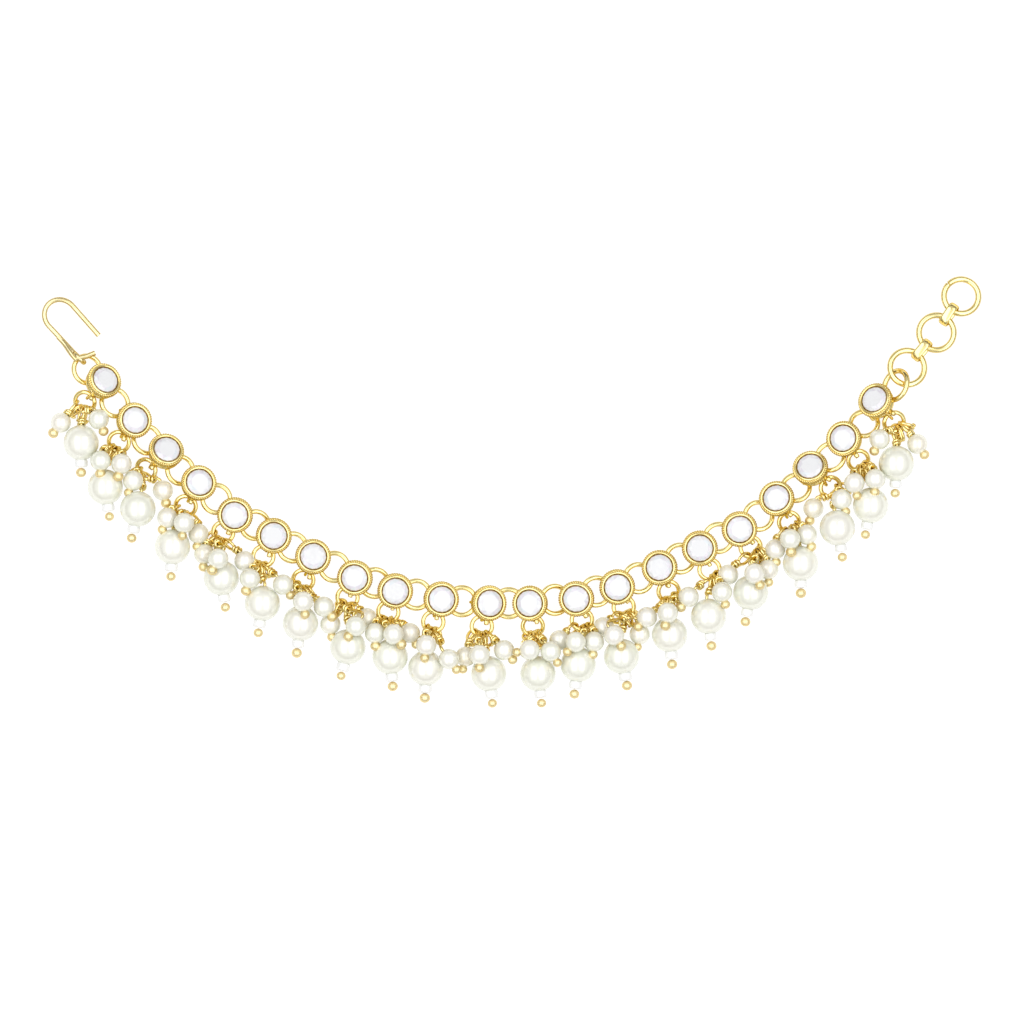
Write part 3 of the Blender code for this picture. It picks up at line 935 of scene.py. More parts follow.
def pearl_finish():
    material, tree, shader, place = new_finish("ivory_pearl")
    cloud = noise(tree, place, 520.0, 3.0, 0.55)
    grain = noise(tree, place, 7000.0, 3.0)
    own = tree.node("ShaderNodeValToRGB", {"stops": PEARL_TINTS}, {"Fac": noted(tree, "tint")})
    soft = blend(tree, cloud.above(0.5, 0.2) * 0.45, own.outputs[0], PEARL_CLOUD)
    feed(tree, shader, {
        # Flanks that face sideways are mixed towards painted shade.
        "Base Color": blend(tree, noted(tree, "side").above(0.55, 0.3) * 0.85, soft, PEARL_FLANK_SHADE),
        "Roughness": 0.18 + cloud * 0.1 + grain * 0.05,
        "Normal": relief(tree, grain, 0.08, 0.00002),
    }, {"Metallic": 0.15, "Coat Weight": 1.0, "Coat Roughness": 0.12, "Coat IOR": 1.6})
    return material


PEARL = pearl_finish()
print("pearl", PEARL.name)

# %% [markdown]
# ## Foiled glass and milky spacers
#
# The stones are glass with foil behind, which sends the light back. Real foil would need light to
# run through the glass, so a pale colour under a clear coat stands in for it, and each facet takes
# its own tint by a number, a painted reflection that differs from facet to facet. The number 0 is
# a dark line of painted shade where a stone meets its seat. A faint wave in the surface breaks the
# reflections. The spacer beads are plain milky glass.

# %% The glass finishes
# Painted reflections of the facets, and at 0 the painted shade of the girdle.
FACET_REFLECTIONS_AND_SHADE = (
    (0.0, (0.34, 0.22, 0.08, 1)),
    (0.1, (0.67, 0.65, 0.71, 1)),
    (0.35, (0.76, 0.72, 0.79, 1)),
    (0.6, (0.80, 0.80, 0.81, 1)),
    (0.85, (0.69, 0.75, 0.79, 1)),
    (1.0, (0.81, 0.81, 0.82, 1)),
)
GLASS_CLOUD = (0.79, 0.78, 0.81, 1)


def glass_finish():
    material, tree, shader, place = new_finish("foiled_glass")
    cloud = noise(tree, place, 650.0, 2.0)
    own = tree.node("ShaderNodeValToRGB", {"stops": FACET_REFLECTIONS_AND_SHADE}, {"Fac": noted(tree, "facet")})
    feed(tree, shader, {
        "Base Color": blend(tree, cloud.above(0.52, 0.2) * 0.3, own.outputs[0], GLASS_CLOUD),
        "Roughness": 0.03 + cloud * 0.08,
        "Normal": relief(tree, cloud, 1.0, 0.00012),
    }, {"Metallic": 0.0, "Coat Weight": 0.6, "Coat Roughness": 0.02})
    return material


def spacer_finish():
    material, tree, shader, place = new_finish("milky_spacer")
    cloud = noise(tree, place, 900.0, 3.0)
    feed(tree, shader, {
        "Base Color": blend(tree, cloud, (0.93, 0.92, 0.90, 1), (0.88, 0.90, 0.91, 1)),
        "Roughness": 0.12 + cloud * 0.16,
    }, {"Coat Weight": 0.5})
    return material


GLASS = glass_finish()
SPACER = spacer_finish()
print("finishes", GLASS.name, SPACER.name)

# %% [markdown]
# ## The cups
#
# Each stone sits in a small turned cup: a flat back plate, a round lower body, a waist, and a
# thin polished lip inside the rope edge. It is round, so a lathe of its half outline is the
# natural way, and one cup serves all the settings. The waist and the gap round the stone are
# noted as grooves, and the gold finish paints shade there.

# %% Turned cups
CUP_OUTLINE = (
    (0.0, 0.0), (1.5, 0.0), (1.85, 0.04), (2.15, 0.14), (2.36, 0.3), (2.48, 0.52),
    (2.5, 0.74), (2.44, 0.94), (2.34, 1.06), (2.27, 1.14), (2.27, 1.26), (2.36, 1.4),
    (2.42, 1.8), (2.46, 2.1), (2.46, 2.3), (2.42, 2.44), (2.36, 2.52), (2.28, 2.56),
    (2.18, 2.56), (2.1, 2.5), (2.05, 2.42), (2.02, 2.3), (1.96, 2.2), (0.0, 1.9),
)
GAP_RADIUS = 2.13 * MM
GAP_LEVEL = 1.8 * MM
WAIST_LEVEL = 1.2 * MM
WAIST_HALF = 0.12 * MM
CUP_SIDES = 56
shades = random.Random(7)
cup_places = [(seat.matrix(), 1.0, shades.random()) for seat in seats]


def shaded_seat(spot):
    """1 in the narrow gap round the stone and in the waist of the cup, where the gold gets painted
    shade, 0 elsewhere.
    """
    in_gap = math.hypot(spot.x, spot.y) < GAP_RADIUS and spot.z > GAP_LEVEL
    in_waist = abs(spot.z - WAIST_LEVEL) < WAIST_HALF
    return 1.0 if in_gap or in_waist else 0.0


cup_outline = [(radius * MM, height * MM) for radius, height in CUP_OUTLINE]
cup = lathe("cup", cup_outline, CUP_SIDES, shaded_seat)
cups = repeat_shape("setting_cups", cup, cup_places, GOLD)

# %% [markdown]
# ## The rope edge
#
# The edge of each cup is a fine twisted rope. A rope is a wire whose section isn't round and
# turns as it runs. So a three-lobed section is swept round a circle while the curve is tilted
# along its length: 15 whole turns bring 45 notches round the stone, as in the picture. The ring
# is then stretched upwards, because the real rope is pressed into a band that is taller than wide.

# %% Rope edges by Geometry Nodes
ROPE_TURNS = 15
ROPE_LOBES = 3
ROPE_RADIUS = 2.46 * MM
ROPE_WIRE = 0.25 * MM
ROPE_TALL = 1.75
ROPE_LEVEL = 1.93 * MM
ROPE_DEPTH = 0.2
STEPS_PER_TURN = 12


def rope_tree():
    """A ring of twisted rope on every point."""
    tree, inputs = geometry_tree("rope_edges", (
        ("Radius", "NodeSocketFloat", ROPE_RADIUS),
        ("Strand", "NodeSocketFloat", ROPE_WIRE),
        ("Turns", "NodeSocketFloat", ROPE_TURNS),
        ("Depth", "NodeSocketFloat", ROPE_DEPTH),
        ("Finish", "NodeSocketMaterial", None),
    ))
    path = tree.node("GeometryNodeCurvePrimitiveCircle", sockets={
        "Resolution": STEPS_PER_TURN * ROPE_TURNS, "Radius": inputs["Radius"]})
    run = Number(tree, tree.node("GeometryNodeSplineParameter").outputs["Factor"])
    twist = run * Number(tree, inputs["Turns"]) * math.tau
    tilted = tree.node("GeometryNodeSetCurveTilt", sockets={
        "Curve": path.outputs["Curve"], "Tilt": twist})
    section = tree.node("GeometryNodeCurvePrimitiveCircle", sockets={
        "Resolution": 4 * ROPE_LOBES, "Radius": inputs["Strand"]})
    round_way = Number(tree, tree.node("GeometryNodeSplineParameter").outputs["Factor"])
    angle = round_way * (math.tau * ROPE_LOBES)
    wave = angle.math("COSINE", angle)
    swell = 1.0 + wave * Number(tree, inputs["Depth"])
    where = tree.node("GeometryNodeInputPosition").outputs[0]
    bulged = tree.node("ShaderNodeVectorMath", {"operation": "SCALE"}, {0: where, "Scale": swell})
    lobed = tree.node("GeometryNodeSetPosition", sockets={
        "Geometry": section.outputs["Curve"], "Position": bulged.outputs[0]})
    # The hollows between the lobes are noted as grooves, where the gold finish paints shade.
    marked = tree.node("GeometryNodeStoreNamedAttribute", {"data_type": "FLOAT", "domain": "POINT"}, {
        "Geometry": lobed.outputs[0], "Name": "groove", "Value": (0.5 - wave * 0.5) ** 2.0})
    rope = tree.node("GeometryNodeCurveToMesh", sockets={
        "Curve": tilted.outputs[0], "Profile Curve": marked.outputs[0]})
    raised = tree.node("GeometryNodeTransform", sockets={
        "Geometry": rope.outputs[0], "Translation": (0, 0, ROPE_LEVEL), "Scale": (1, 1, ROPE_TALL)})
    copies = on_every_point(tree, inputs["Geometry"], raised.outputs[0])
    close_tree(tree, copies, inputs["Finish"])
    return tree.tree


ropes = grow("rope_edges", points_mesh("rope_edges", cup_places), rope_tree(), Finish=GOLD)

# %% [markdown]
# ## The stones
#
# Each stone is round glass with a flat top, eight kite facets, eight star facets, a row of small
# ones at the edge and a thin upright girdle. The corners lie on a few circles, so short loops give
# all of them. Each facet stays flat and carries a number that picks its tint, a painted reflection,
# and the girdle carries 0, a dark line of painted shade where the stone meets its seat.

# %% Cut stones
STONE_EDGE = 2.01 * MM
STONE_LEVEL = 2.42 * MM
TABLE_SHARE = 0.66
MIDDLE_SHARE = 0.85
CROWN_HEIGHT = 0.3 * MM
MIDDLE_RISE = 0.55
STONE_FOLD = 8
STONE_DEPTH = 0.45 * MM
GIRDLE = 0.1 * MM


def cut_stone():
    skin = bmesh.new()
    fold = STONE_FOLD
    table = circle_points(skin, STONE_EDGE * TABLE_SHARE, STONE_LEVEL + CROWN_HEIGHT, fold)
    middle = circle_points(
        skin, STONE_EDGE * MIDDLE_SHARE, STONE_LEVEL + CROWN_HEIGHT * MIDDLE_RISE, fold, 0.5)
    edge = circle_points(skin, STONE_EDGE - GIRDLE, STONE_LEVEL, fold * 2)
    girdle = circle_points(skin, STONE_EDGE, STONE_LEVEL - GIRDLE, fold * 2)
    point = skin.verts.new((0, 0, STONE_LEVEL - STONE_DEPTH))
    skin.faces.new(table)
    for k in range(fold):
        after = (k + 1) % fold
        here = edge[2 * k]
        between = edge[2 * k + 1]
        beyond = edge[2 * after]
        skin.faces.new((table[k], table[after], middle[k]))
        skin.faces.new((table[k], middle[k], here, middle[k - 1]))
        skin.faces.new((middle[k], here, between))
        skin.faces.new((middle[k], between, beyond))
    for k in range(fold * 2):
        after = (k + 1) % (fold * 2)
        skin.faces.new((edge[k], girdle[k], girdle[after], edge[after]))
        skin.faces.new((girdle[k], girdle[after], point))
    mesh = mesh_of("stone", skin, split_kites=True)
    facet = mesh.attributes.new("facet", "FLOAT", "FACE")
    for face in mesh.polygons:
        # The girdle gets 0, painted shade; every other facet gets a random painted reflection.
        outer = min(Vector(mesh.vertices[i].co[:2]).length for i in face.vertices) > STONE_EDGE * 0.9
        facet.data[face.index].value = 0.0 if outer else shades.uniform(0.1, 1.0)
    return mesh


stone_places = [
    (seat.matrix() @ Matrix.Rotation(shades.random() * math.tau, 4, "Z"), 1.0, shades.random())
    for seat in seats
]
stones = repeat_shape("set_stones", cut_stone(), stone_places, GLASS, smooth=False)

# %% [markdown]
# ## Link rings
#
# The link rings and the small rings of the drops are plain closed wire rings, so one tree with a
# diameter and a wire makes both. The wire is drawn a little thicker than in the CAD model, whose
# bodies have to keep clear of each other. The last ring is larger and slides towards the end.

# %% Rings of wire
SEEN_WIRE = 1.18
TAIL_RING_SIZE = 1.1
TAIL_RING_SLIDE = 0.2 * MM
TAIL_RING_LIFT = 0.15 * MM
ring_places = [(frame_of(ring.centre, ring.along, ring.across), 1.0, shades.random())
               for ring in [hook_ring] + link_rings[:-1]]
tail = link_rings[-1]
tail_centre = tail.centre + tail.along * TAIL_RING_SLIDE + UP * TAIL_RING_LIFT
ring_places.append((frame_of(tail_centre, tail.along, tail.across), TAIL_RING_SIZE, 0.5))
rings = grow("link_rings", points_mesh("link_rings", ring_places), WIRE_RINGS,
             Diameter=LINK_RING_DIAMETER, Wire=LINK_WIRE * SEEN_WIRE, Finish=GOLD)
drop_ring_places = [(frame_of(drop.centre, drop.along, drop.across), 1.0, shades.random())
                    for drop in drops]
drop_rings = grow("drop_rings", points_mesh("drop_rings", drop_ring_places), WIRE_RINGS,
                  Diameter=DROP_RING_DIAMETER, Wire=DROP_WIRE * SEEN_WIRE, Steps=44, Finish=GOLD)

# %% [markdown]
# ## Staples
#
# Behind each cup two staples hold a ring each: bars bent twice and soldered on. Each one is a path
# of four corners, which short curves round off, and the tree for bent wires sweeps it.

# %% Staples behind the cups
# The wire is a little thicker than the CAD model's strap, and a leg ends on the cup within reach.
STAPLE_WIRE = STRAP * 1.1
INTO_CUP = STRAP * 1.4
REACH_ON_CUP = RIM_RADIUS * 0.8


def strap_top(foot):
    """Where a strap's leg meets the back plate or the cup's flank."""
    radius = foot.length
    if radius < PLATE_RADIUS - STRAP / 2:
        return foot + UP * STRAP
    seat_radius = min(radius, REACH_ON_CUP)
    rise = (seat_radius - PLATE_RADIUS) / (RIM_RADIUS - PLATE_RADIUS) * SEEN_HEIGHT
    return foot * (seat_radius / radius) + UP * (max(rise, 0) + INTO_CUP)


def rounded(corners, share=0.3, steps=5):
    """Round the inner corners of a path with short curves."""
    path = [corners[0]]
    for before, corner, after in zip(corners, corners[1:], corners[2:]):
        reach = share * min((before - corner).length, (after - corner).length)
        start = corner + (before - corner).normalized() * reach
        finish = corner + (after - corner).normalized() * reach
        for k in range(steps + 1):
            t = k / steps
            path.append(start.lerp(corner, t).lerp(corner.lerp(finish, t), t))
    path.append(corners[-1])
    return path


staple_paths = []
for seat in seats:
    for middle, way, half in ((seat.link_spot, CHAIN_WAY, LINK_HALF),
                              (seat.drop_way * DROP_REACH, seat.drop_way, DROP_HALF)):
        near = middle - way * half
        far = middle + way * half
        corners = [strap_top(near), near + UP * STRAP_LEVEL, far + UP * STRAP_LEVEL, strap_top(far)]
        staple_paths.append(rounded([seat.place(corner) for corner in corners]))
staples = grow("staples", paths_mesh("staples", staple_paths), BENT_WIRES,
               Wire=STAPLE_WIRE, Finish=GOLD)

# %% [markdown]
# ## Lugs on the cups
#
# A short bar sticks out below the rim where the drop's ring hangs, left over from the casting.
# It catches the light next to the small ring. A rounded bar is turned on the lathe and laid flat
# on its place.

# %% Lugs
LUG_LENGTH = 1.1 * MM
LUG_RADIUS = 0.36 * MM
LUG_START = 2.2 * MM
LUG_LEVEL = 0.42 * MM
lug_outline = ((0.0, 0.0), (0.9, 0.0), (1.0, 0.12), (1.0, 0.8), (0.85, 0.95), (0.0, 1.0))
lug = lathe("lug", [(r * LUG_RADIUS, h * LUG_LENGTH) for r, h in lug_outline], 14)
lug_places = []
for seat in seats:
    local = Matrix.Rotation(shades.uniform(4, 16) * DEG, 3, "Z") @ seat.drop_way
    way = seat.matrix().to_3x3() @ local
    start = seat.place(local * LUG_START + UP * LUG_LEVEL)
    lug_places.append((aimed(start, way), shades.uniform(0.85, 1.1), 0.5))
lugs = repeat_shape("cup_lugs", lug, lug_places, WIRE_GOLD)

# %% [markdown]
# ## Pearls
#
# A drilled pearl isn't a bare ball: a small hole with a soft edge is at each pole, where the pin
# comes out. The outline of half a circle with a dimple at both ends, turned on the lathe, has
# both. Each pearl gets a number for its tint, partly at random. Small pearls that lie low in a
# cluster get higher numbers and a warmer tint, which is painted shade and painted warm light from
# the gold and from the other pearls.

# %% Drilled pearls
HOLE = 0.26 * MM
HOLE_DEPTH = 0.25 * MM


def bead_outline(radius, bands):
    """Half a circle that starts and ends in a small drilled hole."""
    first = math.asin(HOLE / radius)
    edge = radius * math.cos(first)
    outline = [(0, -edge + HOLE_DEPTH), (HOLE * 0.8, -edge + HOLE_DEPTH * 0.8),
               (HOLE * 0.92, -edge + HOLE_DEPTH * 0.08)]
    for k in range(bands + 1):
        angle = first + (math.pi - 2 * first) * k / bands
        outline.append((radius * math.sin(angle), -radius * math.cos(angle)))
    return outline + [(width, -height) for width, height in outline[:3][::-1]]


def pearl_tint_and_shade(pearl):
    """A random tint; small pearls low in a cluster get a warmer one, painted shade and painted warm
    light.
    """
    if pearl["radius"] > SMALL_PEARL / 2:
        return shades.uniform(0.15, 0.45)
    lifted = pearl["centre"].z > 2 * pearl["radius"]
    return shades.uniform(0.2, 0.7) if lifted else shades.uniform(0.45, 0.95)


def pearl_places(some):
    return [(aimed(pearl["centre"], pearl["tip"]), 1.0, pearl_tint_and_shade(pearl)) for pearl in some]


large_shape = lathe("large_pearl", bead_outline(LARGE_PEARL / 2, 26), 44)
big = repeat_shape("large_pearls", large_shape, pearl_places(large_pearls), PEARL)
small_shape = lathe("small_pearl", bead_outline(SMALL_PEARL / 2, 20), 32)
little = repeat_shape("small_pearls", small_shape, pearl_places(small_pearls), PEARL)

# %% [markdown]
# ## Spacer beads
#
# Under each large pearl a milky spacer bead sits on the pin. It is a short drum with round edges. A
# cylinder with a bevel would do, but on the lathe one formula gives the whole outline: half a
# circle whose heights are pushed outwards, with a flat face at either end.

# %% Drums on the pins
SPACER_HALF = 0.62 * MM
SPACER_RADIUS = 1.0 * MM
SPACER_REACH = 3.1 * MM
SPACER_FLAT = 0.55
SPACER_BANDS = 16
SQUARENESS = 0.55


def squared(value, power):
    """A sine or cosine that stays near its ends for longer, for a squarer outline."""
    return math.copysign(abs(value) ** power, value)


spacer_outline = [(0, -SPACER_HALF)]
for k in range(SPACER_BANDS + 1):
    turn = math.pi * k / SPACER_BANDS
    rise = squared(math.cos(turn), SQUARENESS)
    width = SPACER_FLAT + (1 - SPACER_FLAT) * math.sin(turn) ** 0.7
    spacer_outline.append((width * SPACER_RADIUS, -rise * SPACER_HALF))
spacer_outline.append((0, SPACER_HALF))
spacer_places = []
for pearl in large_pearls:
    spot = aimed(pearl["centre"] + pearl["tip"] * SPACER_REACH, pearl["tip"])
    spacer_places.append((spot, shades.uniform(0.92, 1.05), 0.5))
spacers = repeat_shape("spacer_beads", lathe("spacer", spacer_outline, 28), spacer_places, SPACER)

# %% [markdown]
# ## Ball heads
#
# Each pin ends in a small gold ball that keeps its bead on, and under a large pearl the spacer as
# well. A ready-made sphere would be perfectly round, while the head of a real pin is pressed a
# little flat along the pin, which the lathe gives by one factor. The finish is satin, so a ball
# shows no sharp reflections and looks pale from above.

# %% Ball heads on the pins
LARGE_BALL_REACH = 4.5 * MM
BALL = 0.74 * MM
BALL_TALL = 0.93
BALL_BANDS = 12
ball_places = []
for pearl in pearls:
    reach = LARGE_BALL_REACH if pearl["radius"] > SMALL_PEARL / 2 else pearl["radius"] + BALL * 0.55
    spot = aimed(pearl["centre"] + pearl["tip"] * reach, pearl["tip"])
    ball_places.append((spot, shades.uniform(0.92, 1.08), shades.random()))
ball_outline = []
for k in range(BALL_BANDS + 1):
    turn = math.pi * k / BALL_BANDS
    width = 0 if k in (0, BALL_BANDS) else BALL * math.sin(turn)
    ball_outline.append((width, -BALL * BALL_TALL * math.cos(turn)))
balls = repeat_shape("ball_heads", lathe("ball", ball_outline, 20), ball_places, BALL_GOLD)

# %% [markdown]
# ## Pins and eye loops
#
# The pin leaves the pearl at its upper pole, bends towards the small ring and closes in an eye
# round the ring's wire. The eyes crowd together and look like a bundle of gold. Each one is a
# path of points: a short curve, most of an oval round the ring's wire, tilted by chance within
# limits, and two turns of wire round its own stem. Four more eyes on each ring fill the bundle.

# %% Pins with eyes
EYE_RADIUS = 0.8 * MM
EYE_LONG = 1.45
EYE_WIRE = 0.46 * MM
EYE_SPREAD = 34
WRAP_LENGTH = 1.1 * MM
WRAP_TURNS = 2
WRAP_STEPS = 36
PIN_DEPTH = 0.2 * MM
EYE_TURNS = 0.94
EYE_STEPS = 24
EYE_TILT = 40
LOOSE_SPREADS = (-0.8, -0.3, 0.3, 0.8)
LOOSE_REACH = 0.5 * MM
LOOSE_TURNS = 1.12
LOOSE_STEPS = 28
LOOSE_TILT = 50
COIL_PITCH = 1.1


def curve_between(start, start_way, finish, finish_way, steps=8):
    """Points of a smooth curve that leaves and arrives in given directions."""
    pull = (finish - start).length * 0.4
    a, b = start + start_way * pull, finish - finish_way * pull
    points = []
    for k in range(steps + 1):
        t = k / steps
        u = 1 - t
        points.append(start * u**3 + a * 3 * u * u * t + b * 3 * u * t * t + finish * t**3)
    return points


def wrap_path(start, way, room):
    """The end of the wire, wound round the stem below the eye."""
    length = min(WRAP_LENGTH, room * 0.8)
    first = way.orthogonal().normalized()
    second = way.cross(first)
    points = []
    for k in range(WRAP_STEPS + 1):
        turn = math.tau * WRAP_TURNS * k / WRAP_STEPS
        off = (first * math.cos(turn) + second * math.sin(turn)) * EYE_WIRE * 0.95
        points.append(start + way * length * k / WRAP_STEPS + off)
    return points


def ring_spot(drop, order):
    """A spot on the drop's ring, with the ways out of the ring and along its wire."""
    turn = order * EYE_SPREAD * DEG
    outward = drop.along * math.cos(turn) + drop.across * math.sin(turn)
    tangent = drop.across * math.cos(turn) - drop.along * math.sin(turn)
    return drop.centre + outward * DROP_RING_DIAMETER / 2, outward, tangent


def eye_side(tangent, away, most):
    """The flat way of an eye, turned about its length by chance."""
    side = tangent.cross(away).normalized()
    return Matrix.Rotation(shades.uniform(-most, most) * DEG, 3, away) @ side


def eye_loop(middle, away, side, turns, steps, drift=Vector()):
    """Points of an oval; the drift winds it into a coil."""
    loop = []
    for k in range(steps + 1):
        around = math.tau * turns * k / steps
        off = (away * EYE_LONG * math.cos(around) + side * math.sin(around)) * EYE_RADIUS
        loop.append(middle + off + drift * (k / steps))
    return loop


def above_table(path):
    for point in path:
        point.z = max(point.z, EYE_WIRE / 2)
    return path


def eye_path(drop, pearl, order):
    """From the pearl's pole to an eye round the drop's ring."""
    anchor, _, tangent = ring_spot(drop, order)
    pole = pearl["centre"] - pearl["tip"] * (pearl["radius"] - PIN_DEPTH)
    away = (pole - anchor).normalized()
    side = eye_side(tangent, away, EYE_TILT)
    middle = anchor + away * (EYE_RADIUS * EYE_LONG - (DROP_WIRE + EYE_WIRE) / 2)
    middle.z = max(middle.z, EYE_WIRE)
    loop = eye_loop(middle, away, side, EYE_TURNS, EYE_STEPS)
    stem_way = (pole - loop[0]).normalized()
    stem = curve_between(pole, -pearl["tip"], loop[0], -stem_way)
    return above_table(stem[:-1] + loop + wrap_path(loop[0], stem_way, (pole - loop[0]).length))


def loose_eye(drop, order):
    """An eye of a pin that ends out of sight, closed round the drop's ring."""
    anchor, outward, tangent = ring_spot(drop, order)
    away = (outward + UP * shades.uniform(0.2, 0.7)).normalized()
    side = eye_side(tangent, away, LOOSE_TILT)
    middle = anchor + away * LOOSE_REACH
    drift = tangent * EYE_WIRE * COIL_PITCH
    return above_table(eye_loop(middle, away, side, LOOSE_TURNS, LOOSE_STEPS, drift))


pin_paths = []
for drop in drops:
    order = sorted(drop.pearls, key=lambda p: (p["centre"] - drop.knot).dot(drop.across))
    for k, pearl in enumerate(order):
        pin_paths.append(eye_path(drop, pearl, k - (len(order) - 1) / 2))
    for spread in LOOSE_SPREADS:
        pin_paths.append(loose_eye(drop, spread + shades.uniform(-0.2, 0.2)))
pins = grow("pins_and_eyes", paths_mesh("pins_and_eyes", pin_paths), BENT_WIRES,
            Wire=EYE_WIRE, Finish=WIRE_GOLD)

# %% [markdown]
# ## The hook
#
# One thicker wire, a little paler than the chain: an eye on the first ring, a leg, a round bend and
# a free end. The wire is doubled near the eye, and its cut tail sticks out to the side. Each of
# these is a path of points, and one sweep with a round section makes them all.

# %% Hook wire
BEND_DELAY = 0.35 * MM
BEND_SHIFT = Vector((0.4, 0.15, 0)) * MM
BEND_LONG = 1.08
BEND_STEPS = 48
FREE_LEG_SHARE = 0.53
LEG_TOUCH = 0.4
HOOK_EYE_STEPS = 32
TAIL_BEHIND = 0.5 * MM
TAIL_BEND = 0.6
TAIL_LONG = 1.15
TAIL_SWING = -0.2
STRAND_ASIDE = HOOK_WIRE * 0.7
STRAND_LIFT = 0.3 * MM
STRAND_PAST = 1.4 * MM
eye = hook_ring.centre * 2 - hook_ring.end()
leg_way = heading(HOOK_HEADING)
side = UP.cross(leg_way)
bend_start = eye + leg_way * (HOOK_LEG + BEND_DELAY) + BEND_SHIFT
bend_start.z = HOOK_WIRE / 2
bend_middle = bend_start - side * HOOK_BEND_RADIUS
leg_start = eye + leg_way * HOOK_EYE_RADIUS
low_leg = leg_start.lerp(bend_start, LEG_TOUCH)
low_leg.z = HOOK_WIRE / 2
hook_path = rounded([leg_start, low_leg, bend_start], 0.5, 8)[:-1]
for k in range(BEND_STEPS + 1):
    turn = HOOK_TURN * DEG * k / BEND_STEPS
    off = side * math.cos(turn) + leg_way * BEND_LONG * math.sin(turn)
    hook_path.append(bend_middle + off * HOOK_BEND_RADIUS)
last_way = (hook_path[-1] - hook_path[-2]).normalized()
for _ in range(2):
    hook_path.append(hook_path[-1] + last_way * HOOK_FREE_LEG * FREE_LEG_SHARE)
hook_eye = []
for k in range(HOOK_EYE_STEPS + 1):
    turn = math.tau * k / HOOK_EYE_STEPS
    hook_eye.append(eye + (leg_way * math.cos(turn) + UP * math.sin(turn)) * HOOK_EYE_RADIUS)
eye_top = eye + UP * HOOK_EYE_RADIUS
tail_way = heading(HOOK_TAIL_HEADING)
hook_tail = [eye_top - tail_way * TAIL_BEHIND, eye_top + tail_way * HOOK_TAIL * TAIL_BEND,
             eye_top + (tail_way + side * TAIL_SWING) * HOOK_TAIL * TAIL_LONG]
strand_start = eye + side * STRAND_ASIDE + UP * STRAND_LIFT
hook_strand = curve_between(strand_start, leg_way, low_leg + leg_way * STRAND_PAST, leg_way)
hook_paths = paths_mesh("hook_wire", [hook_path, hook_eye, hook_tail, hook_strand])
hook = grow("hook_wire", hook_paths, BENT_WIRES,
            Wire=HOOK_WIRE * SEEN_WIRE, Sides=16, Finish=HOOK_GOLD)

# %% [markdown]
# ## End rings
#
# Three heavier rings lie in the chain's end. Each one rises towards the ring or link that it runs
# over, so its plane is tipped by the height of its two ends. The last ring is open by a hair,
# where it was bent shut, so the rings are paths that the tree for bent wires sweeps.

# %% The heavy rings
RING_STEPS = 72
RING_SLIT = 0.006
SLIT_PLACE = 80 * DEG
SEEN_END_WIRE = 1.12
places = [Vector((x, y, 0)) * MM for x, y in END_RING_PLACES]
ways = [(b - a).normalized() for a, b in zip(places, places[1:])]
ways.append(ways[-1])
held = END_WIRE * 1.5 + PLAY / 2
starts = [link_rings[-1].end().z, held, held]
finishes = [held, held, END_WIRE / 2]
end_paths = []
for k, (place, way) in enumerate(zip(places, ways)):
    centre = place + UP * (starts[k] + finishes[k]) / 2
    rise = (finishes[k] - starts[k]) / END_RING_DIAMETER
    along = (way * math.sqrt(1 - rise * rise) + UP * rise).normalized()
    across = UP.cross(way)
    slit = RING_SLIT if k == 2 else 0.0
    ring = []
    for step in range(RING_STEPS + 1):
        turn = SLIT_PLACE + math.tau * (slit + (1 - 2 * slit) * step / RING_STEPS)
        ring.append(centre + (along * math.cos(turn) + across * math.sin(turn)) * END_RING_DIAMETER / 2)
    end_paths.append(ring)
end_rings = grow("end_rings", paths_mesh("end_rings", end_paths), BENT_WIRES,
                 Wire=END_WIRE * SEEN_END_WIRE, Sides=18, Finish=GOLD)

# %% [markdown]
# ## End links
#
# The two links between the heavy rings are ovals of flat strip with rounded edges, bent shut and
# standing on edge. A sweep could make them, but a strip that is wide in one way and thin in the
# other twists easily on a curve. So the corners are written row by row, with the strip's width
# always along the link's own axis.

# %% Links of flat strip
END_LINK_BAND = 1.45 * MM
END_LINK_THICK = 0.6 * MM
SEEN_LINK_WIDTH = 1.7 * MM
BAND_ROWS = 48
BAND_SIDES = 16


def band_link(skin, centre, way, across):
    """A closed oval of flat strip, with rounded edges, in the plane of way and across."""
    normal = way.cross(across).normalized()
    rows = []
    for step in range(BAND_ROWS):
        turn = math.tau * (step + 0.5) / BAND_ROWS
        outward = way * math.cos(turn) + across * math.sin(turn)
        middle = centre + outward * SEEN_LINK_WIDTH / 2
        middle += way * math.copysign(END_LINK_STRETCH / 2, math.cos(turn))
        row = []
        for k in range(BAND_SIDES):
            around = math.tau * k / BAND_SIDES
            thick = squared(math.cos(around), 0.8) * END_LINK_THICK / 2
            wide = squared(math.sin(around), 0.6) * END_LINK_BAND / 2
            row.append(skin.verts.new(TO_FRAME @ (middle + outward * thick + normal * wide)))
        rows.append(row)
    for row, after in zip(rows, rows[1:] + rows[:1]):
        for k in range(BAND_SIDES):
            j = (k + 1) % BAND_SIDES
            skin.faces.new((row[k], row[j], after[j], after[k]))


link_skin = bmesh.new()
for k, way in enumerate(ways[:2]):
    centre = (places[k] + places[k + 1]) / 2
    centre.z = END_WIRE / 2 + END_LINK_WIDTH / 2
    across = UP * math.cos(END_LINK_LEAN * DEG) + UP.cross(way) * math.sin(END_LINK_LEAN * DEG)
    band_link(link_skin, centre, way, across)
link_mesh = mesh_of("end_links", link_skin)
link_mesh.shade_smooth()
link_mesh.materials.append(GOLD)
end_links = put_in_scene("end_links", link_mesh)
print("end_links faces", len(link_mesh.polygons))

# %% [markdown]
# ## Who stands for what
#
# Every fine piece rides on the one body of the chain and replaces the plain CAD nodes whose shape
# it takes over. Each row also gives the slot of the imported record that its finish stands for,
# which the loop doesn't use.

